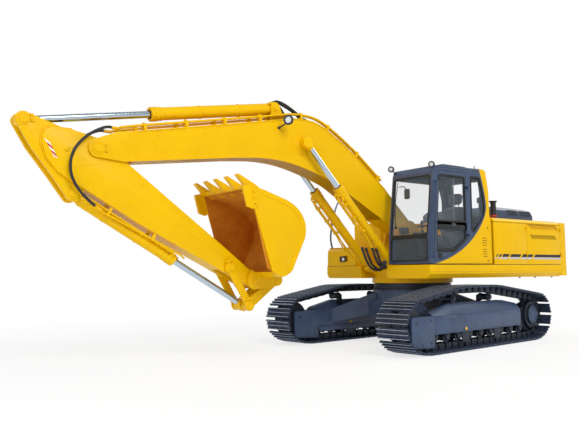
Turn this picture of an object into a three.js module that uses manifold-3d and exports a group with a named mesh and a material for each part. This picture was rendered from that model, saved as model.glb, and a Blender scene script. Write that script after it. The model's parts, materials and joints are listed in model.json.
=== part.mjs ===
// Crawler excavator: undercarriage, slewing upper structure with cab, boom, arm and bucket.
// Millimetres, +X forward along the boom, +Y to the operator's left, +Z up.
// Pieces are drawn with the slewing axis at x = y = 0 and the ground at z = 0; the finished
// machine is then moved so that the origin is on the ground under the middle of its box.
import * as THREE from "three";
import { mergeVertices } from "three/addons/utils/BufferGeometryUtils.js";
import Module from "manifold-3d";

const wasm = await Module();
wasm.setup();

// ---- clearances ----
const seatGap = 0.3; // between pieces that rest on or are fastened to each other
const pinGap = 0.2; // radial, pins and rods in their bores
const sideGap = 6; // beside a moving piece
const roundSides = 20;
const shortestEdge = 0.02; // finer slivers left by joins are merged away

// ---- tracks ----
const trackTurn = 6; // degrees the tracks are turned from the upper structure
const trackGauge = 2570;
const shoeWidth = 600;
const axleSpan = 3747; // between idler and sprocket axles
const axleHeight = 455;
const linkPitch = 190;
const railDrop = 48; // pin line to the rail that rolls
const seatRise = 52; // pin line to the underside of the shoes
const shoeThickness = 12;
const grouserHeight = 26;
const wheelRadius = 270;
const rollerRadius = 90;
const rollerCount = 9;
const rollerReach = 1330; // first roller's distance from the middle
const guideReach = 1740; // where the bottom run starts to rise
const carrierRadius = 67;
const carrierRelief = 10; // the belt bends over the carriers in straight links
const carrierXs = [750, -370];
const topRunHeight = 958; // pin line over the carrier rollers
const railOffset = 70; // middle of each chain rail from the track's middle
const railWidth = 46;
const frameHalfWidth = 165;
const coverThickness = 50;
const hubRadius = 180;
const hubReach = 125;
const sprocketTeeth = 21;

// ---- slewing ring and deck ----
const ringRadius = 743;
const ringBore = 560;
const ringTop = 1080;
const deckBottom = 1170;
const deckTop = 1395;
const deckFront = 1058;
const rightDeckFront = 920;
const deckRear = -2770;
const upperHalfWidth = 1372;
const deckInner = 405;
const wallThickness = 40;

// ---- body behind the cab ----
const bodyFront = -660;
const doorSplit = -1660;
const bodyTop = 2240;
const coverLip = bodyTop - 75; // lower edge of the top cover
const tankRear = -1505;
const tankInner = 620;
const toolBoxTop = 1745;
const counterweightRear = -3110;

// ---- hood ----
const hoodFront = -1300;
const hoodRear = -2660;
const hoodHalfWidth = 860;
const hoodHeight = 258;

// ---- cab ----
const cabRight = 415;
const cabLeft = 1345;
const cabBottom = 1412;
const cabWall = 45;
const glassThickness = 6;
const doorHinge = { x: 20, y: 1375 };
const doorGap = 8;

// ---- boom, arm and bucket: pins as x, z ----
const pins = {
  boomFoot: [270, 2050],
  boomTip: [6180, 2955],
  boomCylinderFoot: [800, 1360],
  boomCylinderRod: [2740, 3380],
  armCylinderHead: [3200, 3940],
  armCylinderRod: [7120, 3240],
  bucketCylinderHead: [6460, 2330],
  rockerPivot: [4120, 1360],
  linkPin: [3780, 790],
  bucketPin: [3690, 1155],
  bucketLinkPin: [3270, 1170],
};
const boomHalfWidth = 205;
const armHalfWidth = 165;
const bucketHalfWidth = 690;
const bucketPlate = 30;
const cylinderOffset = 315; // boom cylinders, from the middle
const cylinderRadius = 80;
const armCylinderRadius = 95;
const bucketCylinderRadius = 82;
const pinRadius = 45;
const toothCount = 5;

// ---- finishes ----
const paint = (color, roughness = 0.35, metalness = 0.1) =>
  new THREE.MeshStandardMaterial({ color, roughness, metalness });
const yellow = () => paint("#f0c005");
const slate = () => paint("#4c5c7c");
const trackSteel = () => paint("#39455e", 0.55, 0.5);
const chrome = () => paint("#c8ccd2", 0.12, 1);
const glass = () => paint("#9fb4bd", 0.05, 0);
const dark = () => paint("#1d1f22", 0.7, 0);

// ---- geometry helpers ----
function solid(geometry) {
  geometry.deleteAttribute("normal");
  geometry.deleteAttribute("uv");
  const merged = mergeVertices(geometry, 1e-3);
  return new wasm.Manifold(
    new wasm.Mesh({
      numProp: 3,
      vertProperties: new Float32Array(merged.attributes.position.array),
      triVerts: new Uint32Array(merged.index.array),
    }),
  );
}

const join = (...pieces) => pieces.flat().reduce((whole, piece) => whole.add(piece));
const cut = (whole, ...tools) => tools.flat().reduce((rest, tool) => rest.subtract(tool), whole);

function outline(points) {
  if (points instanceof THREE.Shape) return points;
  return new THREE.Shape(points.map(([x, y]) => new THREE.Vector2(x, y)));
}

function splineTo(shape, points) {
  shape.splineThru(points.map(([x, y]) => new THREE.Vector2(x, y)));
}

function extrude(points, depth, curveSegments) {
  return new THREE.ExtrudeGeometry(outline(points), { depth, bevelEnabled: false, curveSegments });
}

// side outlines hold x, z and run from one y to another
function sidePlate(points, yLow, yHigh, curveSegments = 5) {
  const geometry = extrude(points, yHigh - yLow, curveSegments);
  return solid(geometry.rotateX(Math.PI / 2).translate(0, yHigh, 0));
}

// plan outlines hold x, y and run from one z to another
function planPlate(points, zLow, zHigh, curveSegments = 5) {
  return solid(extrude(points, zHigh - zLow, curveSegments).translate(0, 0, zLow));
}

// sections hold y, z and run from one x to another
function sectionBar(points, xLow, xHigh, curveSegments = 5) {
  const geometry = extrude(points, xHigh - xLow, curveSegments);
  return solid(geometry.rotateX(Math.PI / 2).rotateZ(Math.PI / 2).translate(xLow, 0, 0));
}

function box(xLow, xHigh, yLow, yHigh, zLow, zHigh) {
  const geometry = new THREE.BoxGeometry(xHigh - xLow, yHigh - yLow, zHigh - zLow);
  return solid(geometry.translate((xLow + xHigh) / 2, (yLow + yHigh) / 2, (zLow + zHigh) / 2));
}

function shaft([x, z], radius, yLow, yHigh, sides = roundSides, turn = 0) {
  const geometry = new THREE.CylinderGeometry(radius, radius, yHigh - yLow, sides, 1, false, turn);
  return solid(geometry.translate(x, (yLow + yHigh) / 2, z));
}

function post(x, y, radius, zLow, zHigh, sides = roundSides, topRadius = radius) {
  const geometry = new THREE.CylinderGeometry(topRadius, radius, zHigh - zLow, sides);
  return solid(geometry.rotateX(Math.PI / 2).translate(x, y, (zLow + zHigh) / 2));
}

// a bore's flats clear the corners of the shaft in it
const boreTurn = Math.PI / roundSides;
const boreRadius = (radius) => (radius + pinGap) / Math.cos(boreTurn);

function bore(centre, radius, yLow, yHigh) {
  return shaft(centre, boreRadius(radius), yLow, yHigh, roundSides, boreTurn);
}

// a round bar in the plane y between two distances along a line from one pin towards another
function barBetween(from, to, y, radius, start, end, turn = 0) {
  const angle = Math.atan2(to[1] - from[1], to[0] - from[0]);
  const geometry = new THREE.CylinderGeometry(radius, radius, end - start, roundSides, 1, false, turn);
  geometry.rotateZ(-Math.PI / 2).translate((start + end) / 2, 0, 0);
  return solid(geometry.rotateY(-angle).translate(from[0], y, from[1]));
}

function ring(outer, inner, zLow, zHigh, sides = 36) {
  const profile = [
    new THREE.Vector2(inner, zLow),
    new THREE.Vector2(outer, zLow),
    new THREE.Vector2(outer, zHigh),
    new THREE.Vector2(inner, zHigh),
    new THREE.Vector2(inner, zLow),
  ];
  return solid(new THREE.LatheGeometry(profile, sides).rotateX(Math.PI / 2));
}

// a tube through points joined by smooth bends
function tube(points, radius, steps, sides = 8) {
  const path = new THREE.CatmullRomCurve3(points.map((p) => new THREE.Vector3(...p)), false, "centripetal");
  const section = new THREE.Shape();
  for (let i = 0; i <= sides; i++) {
    const angle = (2 * Math.PI * i) / sides;
    const [x, y] = [radius * Math.cos(angle), radius * Math.sin(angle)];
    if (i === 0) section.moveTo(x, y);
    else if (i < sides) section.lineTo(x, y);
  }
  return solid(new THREE.ExtrudeGeometry(section, { steps, extrudePath: path, bevelEnabled: false }));
}

// moves every edge of a convex outline inwards
function inset(points, distance) {
  const area = points.reduce((sum, [x, y], i) => {
    const [nx, ny] = points[(i + 1) % points.length];
    return sum + x * ny - nx * y;
  }, 0);
  const sign = Math.sign(area);
  const edges = points.map(([x, y], i) => {
    const [nx, ny] = points[(i + 1) % points.length];
    const length = Math.hypot(nx - x, ny - y);
    const normal = [(-sign * (ny - y)) / length, (sign * (nx - x)) / length];
    return { at: [x + normal[0] * distance, y + normal[1] * distance], along: [nx - x, ny - y] };
  });
  return points.map((_, i) => {
    const a = edges[(i + points.length - 1) % points.length];
    const b = edges[i];
    const cross = a.along[0] * b.along[1] - a.along[1] * b.along[0];
    const t = ((b.at[0] - a.at[0]) * b.along[1] - (b.at[1] - a.at[1]) * b.along[0]) / cross;
    return [a.at[0] + a.along[0] * t, a.at[1] + a.along[1] * t];
  });
}

function roundedBar(from, to, fromRadius, toRadius) {
  const angle = Math.atan2(to[1] - from[1], to[0] - from[0]);
  const lean = Math.acos((fromRadius - toRadius) / Math.hypot(to[0] - from[0], to[1] - from[1]));
  const shape = new THREE.Shape();
  shape.absarc(to[0], to[1], toRadius, angle - lean, angle + lean, false);
  shape.absarc(from[0], from[1], fromRadius, angle + lean, angle - lean + 2 * Math.PI, false);
  shape.closePath();
  return shape;
}

const distance = (a, b) => Math.hypot(b[0] - a[0], b[1] - a[1]);
const toward = (from, to, reach) => {
  const length = distance(from, to);
  return [from[0] + ((to[0] - from[0]) * reach) / length, from[1] + ((to[1] - from[1]) * reach) / length];
};

const machine = new THREE.Group();
const undercarriage = new THREE.Group();
undercarriage.rotation.z = THREE.MathUtils.degToRad(trackTurn);
machine.add(undercarriage);

function place(parent, name, piece, material) {
  const result = piece.simplify(shortestEdge).getMesh();
  const geometry = new THREE.BufferGeometry();
  geometry.setAttribute("position", new THREE.BufferAttribute(new Float32Array(result.vertProperties), 3));
  geometry.setIndex(new THREE.BufferAttribute(new Uint32Array(result.triVerts), 1));
  geometry.computeVertexNormals();
  const mesh = new THREE.Mesh(geometry, material);
  mesh.name = name;
  parent.add(mesh);
}

// ---- crawler tracks ----

const pinLineRadius = wheelRadius + railDrop;
const shoeFace = seatRise + shoeThickness + grouserHeight;
const bottomRunHeight = shoeFace;
const rollerHeight = bottomRunHeight + railDrop + rollerRadius + seatGap;
const axleX = axleSpan / 2;

// the belt round the wheels, as the convex line round their pin circles
function beltLine() {
  const wheels = [
    [axleX, axleHeight, pinLineRadius],
    [-axleX, axleHeight, pinLineRadius],
    [guideReach, bottomRunHeight + rollerRadius, rollerRadius],
    [-guideReach, bottomRunHeight + rollerRadius, rollerRadius],
    ...carrierXs.map((x) => [x, topRunHeight - carrierRadius, carrierRadius]),
  ];
  const cloud = wheels.flatMap(([x, z, radius]) =>
    Array.from({ length: 120 }, (_, i) => {
      const angle = (Math.PI * i) / 60;
      return [x + radius * Math.cos(angle), z + radius * Math.sin(angle)];
    }),
  );
  cloud.sort((a, b) => a[0] - b[0] || a[1] - b[1]);
  const chain = (points) => {
    const line = [];
    for (const p of points) {
      while (line.length > 1) {
        const [a, b] = line.slice(-2);
        if ((b[0] - a[0]) * (p[1] - a[1]) - (b[1] - a[1]) * (p[0] - a[0]) > 1e-6) break;
        line.pop();
      }
      line.push(p);
    }
    return line.slice(0, -1);
  };
  return [...chain(cloud), ...chain([...cloud].reverse())];
}

// chain pins at equal steps along the belt
function chainPins() {
  const line = beltLine();
  const lengths = line.map((p, i) => distance(p, line[(i + 1) % line.length]));
  const total = lengths.reduce((a, b) => a + b, 0);
  const count = Math.round(total / linkPitch);
  return Array.from({ length: count }, (_, k) => {
    let left = (total * k) / count;
    let i = 0;
    while (left > lengths[i]) left -= lengths[i++];
    return toward(line[i], line[(i + 1) % line.length], left);
  });
}

const linkPins = chainPins();

// a closed line at a height over each link, at given shares of the link's length
function shoeLine(profile) {
  return linkPins.flatMap((pin, i) => {
    const next = linkPins[(i + 1) % linkPins.length];
    const length = distance(pin, next);
    const along = [(next[0] - pin[0]) / length, (next[1] - pin[1]) / length];
    return profile.map(([share, height]) => [
      pin[0] + along[0] * share * length + along[1] * height,
      pin[1] + along[1] * share * length - along[0] * height,
    ]);
  });
}

function loop(outer, inner, yLow, yHigh) {
  const shape = outline(outer);
  shape.holes.push(new THREE.Path(inner.map(([x, z]) => new THREE.Vector2(x, z))));
  return sidePlate(shape, yLow, yHigh);
}

function makeTrack(middle) {
  const plateTop = seatRise + shoeThickness;
  const outer = shoeLine([
    [0.05, plateTop],
    [0.1, shoeFace],
    [0.9, shoeFace],
    [0.95, plateTop],
  ]);
  const seat = shoeLine([[0, seatRise]]);
  const face = shoeLine([[0.5, plateTop]]);
  const rail = shoeLine([[0, -railDrop]]);
  const shoes = loop(outer, seat, middle - shoeWidth / 2, middle + shoeWidth / 2);
  const rails = [-railOffset, railOffset].map((offset) =>
    loop(face, rail, middle + offset - railWidth / 2, middle + offset + railWidth / 2),
  );
  return join(shoes, rails);
}

// radius that the middle of a link leaves inside the turn of the belt
const halfLinkAngle = linkPitch / 2 / pinLineRadius;
const treadRadius = pinLineRadius * Math.cos(halfLinkAngle) - railDrop - 2;

function makeIdler(middle) {
  const axle = [axleX, axleHeight];
  const halfAxle = frameHalfWidth - coverThickness - seatGap;
  const tread = railOffset + railWidth / 2;
  const flange = railOffset - railWidth / 2 - sideGap;
  return join(
    shaft(axle, treadRadius, middle - tread, middle + tread, 24),
    shaft(axle, treadRadius + railDrop, middle - flange, middle + flange, 24),
    shaft(axle, 70, middle - halfAxle, middle + halfAxle),
  );
}

const toothTip = pinLineRadius + 16;
const toothRoot = treadRadius + 12;
const toothLine = [
  [0.1, toothRoot],
  [0.36, toothTip],
  [0.64, toothTip],
  [0.9, toothRoot],
];

function makeSprocket(middle, outward) {
  const shape = new THREE.Shape();
  for (let i = 0; i < sprocketTeeth; i++) {
    for (const [share, radius] of toothLine) {
      const angle = (2 * Math.PI * (i + share)) / sprocketTeeth;
      const point = [-axleX + radius * Math.cos(angle), axleHeight + radius * Math.sin(angle)];
      if (i === 0 && share === 0.1) shape.moveTo(...point);
      else shape.lineTo(...point);
    }
  }
  const axle = [-axleX, axleHeight];
  const inner = frameHalfWidth - coverThickness - seatGap;
  const [low, high] = outward > 0 ? [-inner, hubReach] : [-hubReach, inner];
  const tread = railOffset + railWidth / 2;
  return join(
    sidePlate(shape, middle - 32, middle + 32),
    shaft(axle, treadRadius, middle - tread, middle + tread, 24),
    shaft(axle, hubRadius, middle + low, middle + high, 24),
  );
}

const beamBottom = 330;
const beamTop = 575;
const beamRidge = topRunHeight - 198;
const beamFront = 1440;
const beamRear = -1330;
const coverFront = 1985;
const coverRear = 1400;
const coverBottom = axleHeight - pinLineRadius - 9;

function makeBottomRoller(middle, x) {
  const saddles = [-1, 1].map((side) => {
    const y = middle + side * 130;
    return box(x - 45, x + 45, y - 18, y + 18, rollerHeight - 40, beamBottom + 20);
  });
  return join(
    shaft([x, rollerHeight], rollerRadius, middle - 115, middle + 115, 12),
    saddles,
  );
}

function makeCarrier(middle, x, outward) {
  const axle = [x, topRunHeight - railDrop - carrierRadius - carrierRelief];
  const y = middle - outward * 120;
  return join(
    shaft(axle, carrierRadius, middle - 105, middle + 105, 12),
    box(x - 40, x + 40, y - 18, y + 18, beamTop - 30, axle[1] + 35),
  );
}

function makeTrackFrame(middle, outward) {
  const section = [
    [middle - frameHalfWidth, beamBottom],
    [middle + frameHalfWidth, beamBottom],
    [middle + frameHalfWidth, beamTop],
    [middle + 60, beamRidge],
    [middle - 60, beamRidge],
    [middle - frameHalfWidth, beamTop],
  ];
  // the ridge falls away to both ends, under the belt
  const ridgeLine = [
    [beamRear, beamBottom],
    [beamFront, beamBottom],
    [beamFront, beamRidge - 120],
    [beamFront - 590, beamRidge],
    [beamRear + 480, beamRidge],
    [beamRear, beamRidge - 70],
  ];
  const beamEdges = [middle - frameHalfWidth, middle + frameHalfWidth];
  const beam = sectionBar(section, beamRear, beamFront).intersect(sidePlate(ridgeLine, ...beamEdges));
  const cover = [
    [coverRear, beamTop],
    [coverRear, coverBottom + 40],
    [coverRear + 40, coverBottom],
    [coverFront - 60, coverBottom],
    [coverFront, coverBottom + 60],
    [coverFront, beamTop - 50],
    [coverFront - 50, beamTop],
  ];
  const covers = [-1, 1].map((side) => {
    const edges = [middle + side * frameHalfWidth, middle + side * (frameHalfWidth - coverThickness)];
    return sidePlate(cover, Math.min(...edges), Math.max(...edges));
  });
  // the inner plate that carries the final drive
  const innerSide = [frameHalfWidth, frameHalfWidth - coverThickness].map((y) => middle - outward * y);
  const innerEdges = [Math.min(...innerSide), Math.max(...innerSide)];
  const drivePlate = sidePlate(
    roundedBar([-axleX, axleHeight], [beamRear - 60, (beamBottom + beamTop) / 2], 215, 120),
    ...innerEdges,
  );
  const beamJoint = box(beamRear - 200, beamRear + 20, ...innerEdges, beamBottom, beamTop);
  const rollers = Array.from({ length: rollerCount }, (_, i) =>
    makeBottomRoller(middle, rollerReach - (2 * rollerReach * i) / (rollerCount - 1)),
  );
  const carriers = carrierXs.map((x) => makeCarrier(middle, x, outward));
  return join(beam, covers, drivePlate, beamJoint, rollers, carriers);
}

// ---- centre frame ----

function makeCenterFrame() {
  const reach = trackGauge / 2 - frameHalfWidth - seatGap;
  const spread = 35; // degrees each leg swings away from the track's side
  const legEnd = reach / Math.cos((spread * Math.PI) / 180) + 133;
  const section = [
    [0, 560],
    [700, 520],
    [legEnd, 340],
    [legEnd, 600],
    [700, 900],
    [0, 930],
  ];
  const legs = [spread, -spread, 180 - spread, spread - 180].map((angle) => {
    const leg = sectionBar(section, -190, 190);
    return leg.rotate([0, 0, angle]);
  });
  const slab = box(-1700, 1700, -reach, reach, 300, 1000);
  const belly = box(-620, 620, -640, 640, 480, 760);
  return join(post(0, 0, 690, 600, 960, 40), belly, legs.map((leg) => leg.intersect(slab)));
}

[["left", 1], ["right", -1]].forEach(([side, outward]) => {
  const middle = (outward * trackGauge) / 2;
  place(undercarriage, `track_frame_${side}`, makeTrackFrame(middle, outward), trackSteel());
  place(undercarriage, `track_${side}`, makeTrack(middle), trackSteel());
  place(undercarriage, `idler_${side}`, makeIdler(middle), trackSteel());
  place(undercarriage, `sprocket_${side}`, makeSprocket(middle, outward), trackSteel());
});
place(undercarriage, "center_frame", makeCenterFrame(), trackSteel());
place(undercarriage, "swing_bearing", ring(ringRadius - 40, ringBore, 960 + seatGap, ringTop), dark());

// ---- upper frame ----

const bothSides = [1, -1];
const footLugInner = cylinderOffset - 100;
const footLugOuter = cylinderOffset - 60;

function makeUpperFrame() {
  const skirt = (side) =>
    [
      [deckInner, deckBottom],
      [upperHalfWidth - 50, deckBottom],
      [upperHalfWidth, deckBottom + 75],
      [upperHalfWidth, deckTop],
      [deckInner, deckTop],
    ].map(([y, z]) => [side * y, z]);
  const leftDeck = sectionBar(skirt(1), deckRear, deckFront);
  const rightDeck = sectionBar(skirt(-1), deckRear, rightDeckFront);
  const floor = box(deckRear, 620, -deckInner - 5, deckInner + 5, deckBottom, deckBottom + 60);
  const rearFloor = box(deckRear, -700, -deckInner - 5, deckInner + 5, deckBottom, deckTop);
  const [footX, footZ] = pins.boomFoot;
  const cheek = new THREE.Shape();
  cheek.moveTo(-900, deckBottom + 20);
  cheek.lineTo(610, deckBottom + 20);
  cheek.lineTo(590, 1500);
  cheek.absarc(footX, footZ, 165, -0.15, Math.PI * 0.86, false);
  cheek.lineTo(-640, 1420);
  cheek.closePath();
  const cheeks = [
    sidePlate(cheek, boomFootHalf + sideGap, boomFootHalf + 46),
    sidePlate(cheek, -boomFootHalf - 46, -boomFootHalf - sideGap),
  ];
  const footPin = shaft(pins.boomFoot, 60, -boomFootHalf - 70, boomFootHalf + 70);
  const lug = roundedBar(pins.boomCylinderFoot, [560, 1290], 95, 100);
  const lugs = bothSides.map((side) => {
    const edges = [side * footLugInner, side * footLugOuter];
    return sidePlate(lug, Math.min(...edges), Math.max(...edges));
  });
  const footPins = bothSides.map((side) => {
    const edges = [side * (footLugInner + 5), side * (deckInner + 10)];
    return shaft(pins.boomCylinderFoot, pinRadius, Math.min(...edges), Math.max(...edges));
  });
  const nose = box(590, 700, -footLugOuter, footLugOuter, deckBottom, deckBottom + 150);
  const slew = ring(ringRadius, ringBore, ringTop + seatGap, deckBottom + 10);
  const mounts = [
    [700, cabLeft - 120],
    [700, cabRight + 120],
    [-450, cabLeft - 120],
    [-450, cabRight + 120],
  ].map(([x, y]) => post(x, y, 55, deckTop - 5, cabBottom - seatGap, 16));
  return join(leftDeck, rightDeck, floor, rearFloor, cheeks, footPin, lugs, footPins, nose, slew, mounts);
}

function makeCounterweight() {
  const corner = 130;
  const side = upperHalfWidth;
  const plan = new THREE.Shape();
  plan.moveTo(deckRear - seatGap, -side);
  plan.lineTo(deckRear - seatGap, side);
  plan.lineTo(-2925, side);
  plan.quadraticCurveTo(-2925 - corner * 0.8, side, -2925 - corner, side - corner);
  plan.quadraticCurveTo(counterweightRear - 30, 0, -2925 - corner, -side + corner);
  plan.quadraticCurveTo(-2925 - corner * 0.8, -side, -2925, -side);
  plan.closePath();
  const slab = planPlate(plan, deckBottom + 15, bodyTop - 20, 6);
  const halfWidth = upperHalfWidth - 50;
  const block = box(deckRear - 10, -2500, -halfWidth, halfWidth, deckTop + seatGap, coverLip - 10);
  const hinges = bothSides.flatMap((hand) =>
    hingeHeights.map((z) => knuckle(deckRear, hand, fixedLeaf(z), -leafReach)),
  );
  return join(slab, block, hinges);
}

// ---- engine bay ----

const bayInner = upperHalfWidth - wallThickness;
const mouth = { front: hoodFront - 70, rear: hoodRear + 70, half: hoodHalfWidth - 60 };

function makeTopCover() {
  const half = [
    [upperHalfWidth, coverLip],
    [upperHalfWidth, coverLip + 25],
    [upperHalfWidth - 20, bodyTop - 18],
    [upperHalfWidth - 65, bodyTop],
  ];
  const under = [
    [upperHalfWidth - 75, bodyTop - wallThickness],
    [bayInner - 5, bodyTop - wallThickness - 15],
    [bayInner, coverLip],
  ];
  const mirror = (points) => points.map(([y, z]) => [-y, z]).reverse();
  const section = [...half, ...mirror(half), ...mirror(under), ...under];
  const cover = sectionBar(section, deckRear + seatGap, bodyFront);
  const outside = -upperHalfWidth - 10;
  const inside = -tankInner + seatGap;
  const tankNotch = box(tankRear - seatGap, bodyFront + 10, outside, inside, 1400, bodyTop + 10);
  const hoodMouth = box(mouth.rear, mouth.front, -mouth.half, mouth.half, 1400, bodyTop + 10);
  return cut(cover, tankNotch, hoodMouth);
}

function sideDoor(xRear, xFront, side) {
  const edges = [side * bayInner, side * upperHalfWidth];
  const gap = 5;
  return box(
    xRear + gap,
    xFront - gap,
    Math.min(...edges),
    Math.max(...edges),
    deckTop + gap,
    coverLip - gap,
  );
}

const doorKnuckle = 14;
const doorPinY = upperHalfWidth + doorKnuckle + 4;
const leafHeight = 50; // of each half of a hinge
const leafReach = 60;
const hingeHeights = [deckTop + 125, coverLip - 165];
const fixedLeaf = (z) => [z + leafHeight + pinGap, z + 2 * leafHeight];

// one half of a hinge: its knuckle on a vertical pin outside the panel, and its leaf
function knuckle(x, side, [zLow, zHigh], reach) {
  const y = side * doorPinY;
  const plate = [side * (upperHalfWidth - 10), y];
  return join(
    post(x, y, doorKnuckle, zLow, zHigh, 12),
    box(Math.min(x, x + reach), Math.max(x, x + reach), Math.min(...plate), Math.max(...plate), zLow, zHigh),
  );
}

function makeBayDoor(xRear, xFront, side) {
  const door = sideDoor(xRear, xFront, side);
  return join(door, hingeHeights.map((z) => knuckle(xRear, side, [z, z + leafHeight], leafReach)));
}

// the front door's hinge arms come out through notches in its rear edge
const frontDoorPin = doorSplit + 20;
const hingeArm = { rear: frontDoorPin - 7, front: frontDoorPin + 7 };

function makeLeftFrontDoor() {
  const notches = hingeHeights.map((z) => {
    const [low, high] = fixedLeaf(z);
    const [front, outside] = [hingeArm.front + sideGap, upperHalfWidth + 5];
    return box(doorSplit, front, bayInner - 5, outside, low - sideGap, high + sideGap);
  });
  const door = cut(sideDoor(doorSplit, bodyFront, 1), notches);
  const leaves = hingeHeights.map((z) =>
    cut(
      knuckle(frontDoorPin, 1, [z, z + leafHeight], leafReach),
      box(doorSplit, hingeArm.front, 0, upperHalfWidth - 1, z, z + leafHeight),
    ),
  );
  return join(door, leaves);
}

function makeDoorPost() {
  const [low, high] = [deckTop + seatGap, coverLip - seatGap];
  const column = box(doorSplit - 30, doorSplit + 40, bayInner - 70, bayInner - 2 * sideGap, low, high);
  const arms = hingeHeights.map((z) => {
    const [low, high] = fixedLeaf(z);
    return join(
      box(hingeArm.rear, hingeArm.front, bayInner - 20, doorPinY, low, high),
      post(frontDoorPin, doorPinY, doorKnuckle, low, high, 12),
    );
  });
  return join(column, arms);
}

function makeHood() {
  const height = bodyTop + hoodHeight;
  const side = (inwards) => [
    [hoodRear + inwards, bodyTop + seatGap],
    [hoodRear + inwards, height - 120],
    [hoodRear + 90 + inwards / 2, height - 20 - inwards],
    [hoodRear + 300, height - inwards],
    [hoodFront - 60 - inwards / 2, height + 20 - inwards],
    [hoodFront - inwards, height - 60],
    [hoodFront - inwards, bodyTop + seatGap],
  ];
  const shell = sidePlate(side(0), -hoodHalfWidth, hoodHalfWidth);
  const edgeTrim = bothSides.map((s) => {
    const section = [
      [s * (hoodHalfWidth - 70), height + 40],
      [s * (hoodHalfWidth + 10), height - 50],
      [s * (hoodHalfWidth + 10), height + 40],
    ];
    return sectionBar(section, hoodRear - 10, hoodFront + 10);
  });
  const inner = side(30);
  inner[0] = [inner[0][0], bodyTop - 10];
  inner[6] = [inner[6][0], bodyTop - 10];
  const hollow = sidePlate(inner, -hoodHalfWidth + 60, hoodHalfWidth - 60);
  return cut(shell, edgeTrim, hollow);
}

function makeTank(xRear, xFront, top) {
  const section = [
    [-upperHalfWidth, deckTop + seatGap],
    [-upperHalfWidth, top - 60],
    [-upperHalfWidth + 20, top - 18],
    [-upperHalfWidth + 65, top],
    [-tankInner, top],
    [-tankInner, deckTop + seatGap],
  ];
  return sectionBar(section, xRear, xFront);
}

function makeToolBox() {
  const outlinePoints = [
    [195, deckTop + seatGap],
    [rightDeckFront - 5, deckTop + seatGap],
    [rightDeckFront - 15, toolBoxTop - 55],
    [rightDeckFront - 60, toolBoxTop],
    [195, toolBoxTop],
  ];
  const lampHole = box(rightDeckFront - 90, rightDeckFront + 10, -930, -790, 1480, 1590);
  return cut(sidePlate(outlinePoints, -upperHalfWidth, -560), lampHole);
}

function makeExhaust() {
  const foot = post(-1200, 985, 62, bodyTop + seatGap, bodyTop + 220, 20);
  const flare = post(-1200, 985, 62, bodyTop + 215, bodyTop + 330, 20, 52);
  const lip = post(-1200, 985, 55, bodyTop + 325, bodyTop + 362, 20, 92);
  return join(foot, flare, lip);
}

const makeIntake = () =>
  join(
    post(-1010, 850, 45, bodyTop + seatGap, bodyTop + 320, 16),
    post(-1010, 850, 75, bodyTop + 315, bodyTop + 430, 20),
  );

function makeHandrail() {
  const y = -1320;
  const frontFoot = rightDeckFront - 95;
  const rearFoot = 80;
  const railTop = bodyTop + 520;
  const plate = 12;
  const feet = [
    [frontFoot, toolBoxTop],
    [rearFoot, bodyTop],
  ].map(([x, z]) => box(x - 32, x + 32, y - 32, y + 12, z + seatGap, z + plate));
  const rail = tube(
    [
      [frontFoot, y, toolBoxTop + plate / 2],
      [frontFoot + 40, y, toolBoxTop + 155],
      [frontFoot + 15, y, toolBoxTop + 405],
      [frontFoot - 125, y, railTop - 160],
      [frontFoot - 225, y, railTop - 40],
      [frontFoot - 405, y, railTop],
      [rearFoot + 120, y, railTop - 20],
      [rearFoot + 20, y, railTop - 120],
      [rearFoot, y, railTop - 360],
      [rearFoot, y, bodyTop + plate / 2],
    ],
    17,
    24,
    6,
  );
  return join(feet, rail);
}

// ---- cab ----

const windscreenLow = 1875;
const cabSide = [
  [1012, cabBottom],
  [1005, windscreenLow],
  [880, 2960],
  [820, 3055],
  [-420, 3090],
  [-510, 3060],
  [-580, 2700],
  [-590, 2250],
  [-632, 2180],
  [-632, cabBottom],
];
// how far forward the cab's front face lies at a height
function frontAt(z) {
  const [foot, fold, brow] = cabSide;
  const [below, above] = z < windscreenLow ? [foot, fold] : [fold, brow];
  return below[0] + ((z - below[1]) * (above[0] - below[0])) / (above[1] - below[1]);
}

// the curved line between the slate front and the yellow rear of the cab
function rearCurve(offset) {
  const shape = new THREE.Shape();
  shape.moveTo(1100, cabBottom - 400);
  shape.lineTo(1100, 1395 + offset);
  shape.lineTo(930, 1405 + offset);
  shape.bezierCurveTo(380, 1500 + offset, -60, 1740 + offset, -330 + offset, 2070);
  shape.quadraticCurveTo(-500 + offset, 2280, -505 + offset, 2420);
  shape.quadraticCurveTo(-495 + offset, 2660, -330 + offset, 3100);
  shape.lineTo(-330 + offset, 3300);
  shape.lineTo(-900, 3300);
  shape.lineTo(-900, cabBottom - 400);
  shape.closePath();
  return shape;
}

const doorOutline = () => {
  const shape = new THREE.Shape();
  shape.moveTo(890, 1450);
  shape.lineTo(883, windscreenLow);
  shape.lineTo(757, 2985);
  shape.lineTo(45, 2985);
  shape.lineTo(45, 1800);
  shape.bezierCurveTo(250, 1640, 520, 1530, 890, 1450);
  return shape;
};

const leftWall = [cabLeft - cabWall, cabLeft];
const doorWindow = [
  [815, 2130],
  [735, 2905],
  [85, 2905],
  [85, 2130],
];
const doorLowerWindow = [
  [830, 1640],
  [830, 1990],
  [85, 1990],
  [85, 1870],
  [380, 1640],
];
const quarterWindow = [
  [-85, 2000],
  [-85, 2920],
  [-330, 2920],
  [-440, 2600],
  [-440, 2330],
  [-140, 1965],
];
const rightWindow = [
  [945, 1890],
  [828, 2900],
  [-330, 2900],
  [-430, 2600],
  [-430, 1950],
];
const frontOpening = [cabRight + 50, cabLeft - 60];
const screens = { upper: [1900, 2890], lower: [1465, 1840] };

function screenCut([zLow, zHigh], from, to) {
  return [
    [frontAt(zLow) - from, zLow],
    [frontAt(zHigh) - from, zHigh],
    [frontAt(zHigh) - to, zHigh],
    [frontAt(zLow) - to, zLow],
  ];
}

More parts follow.
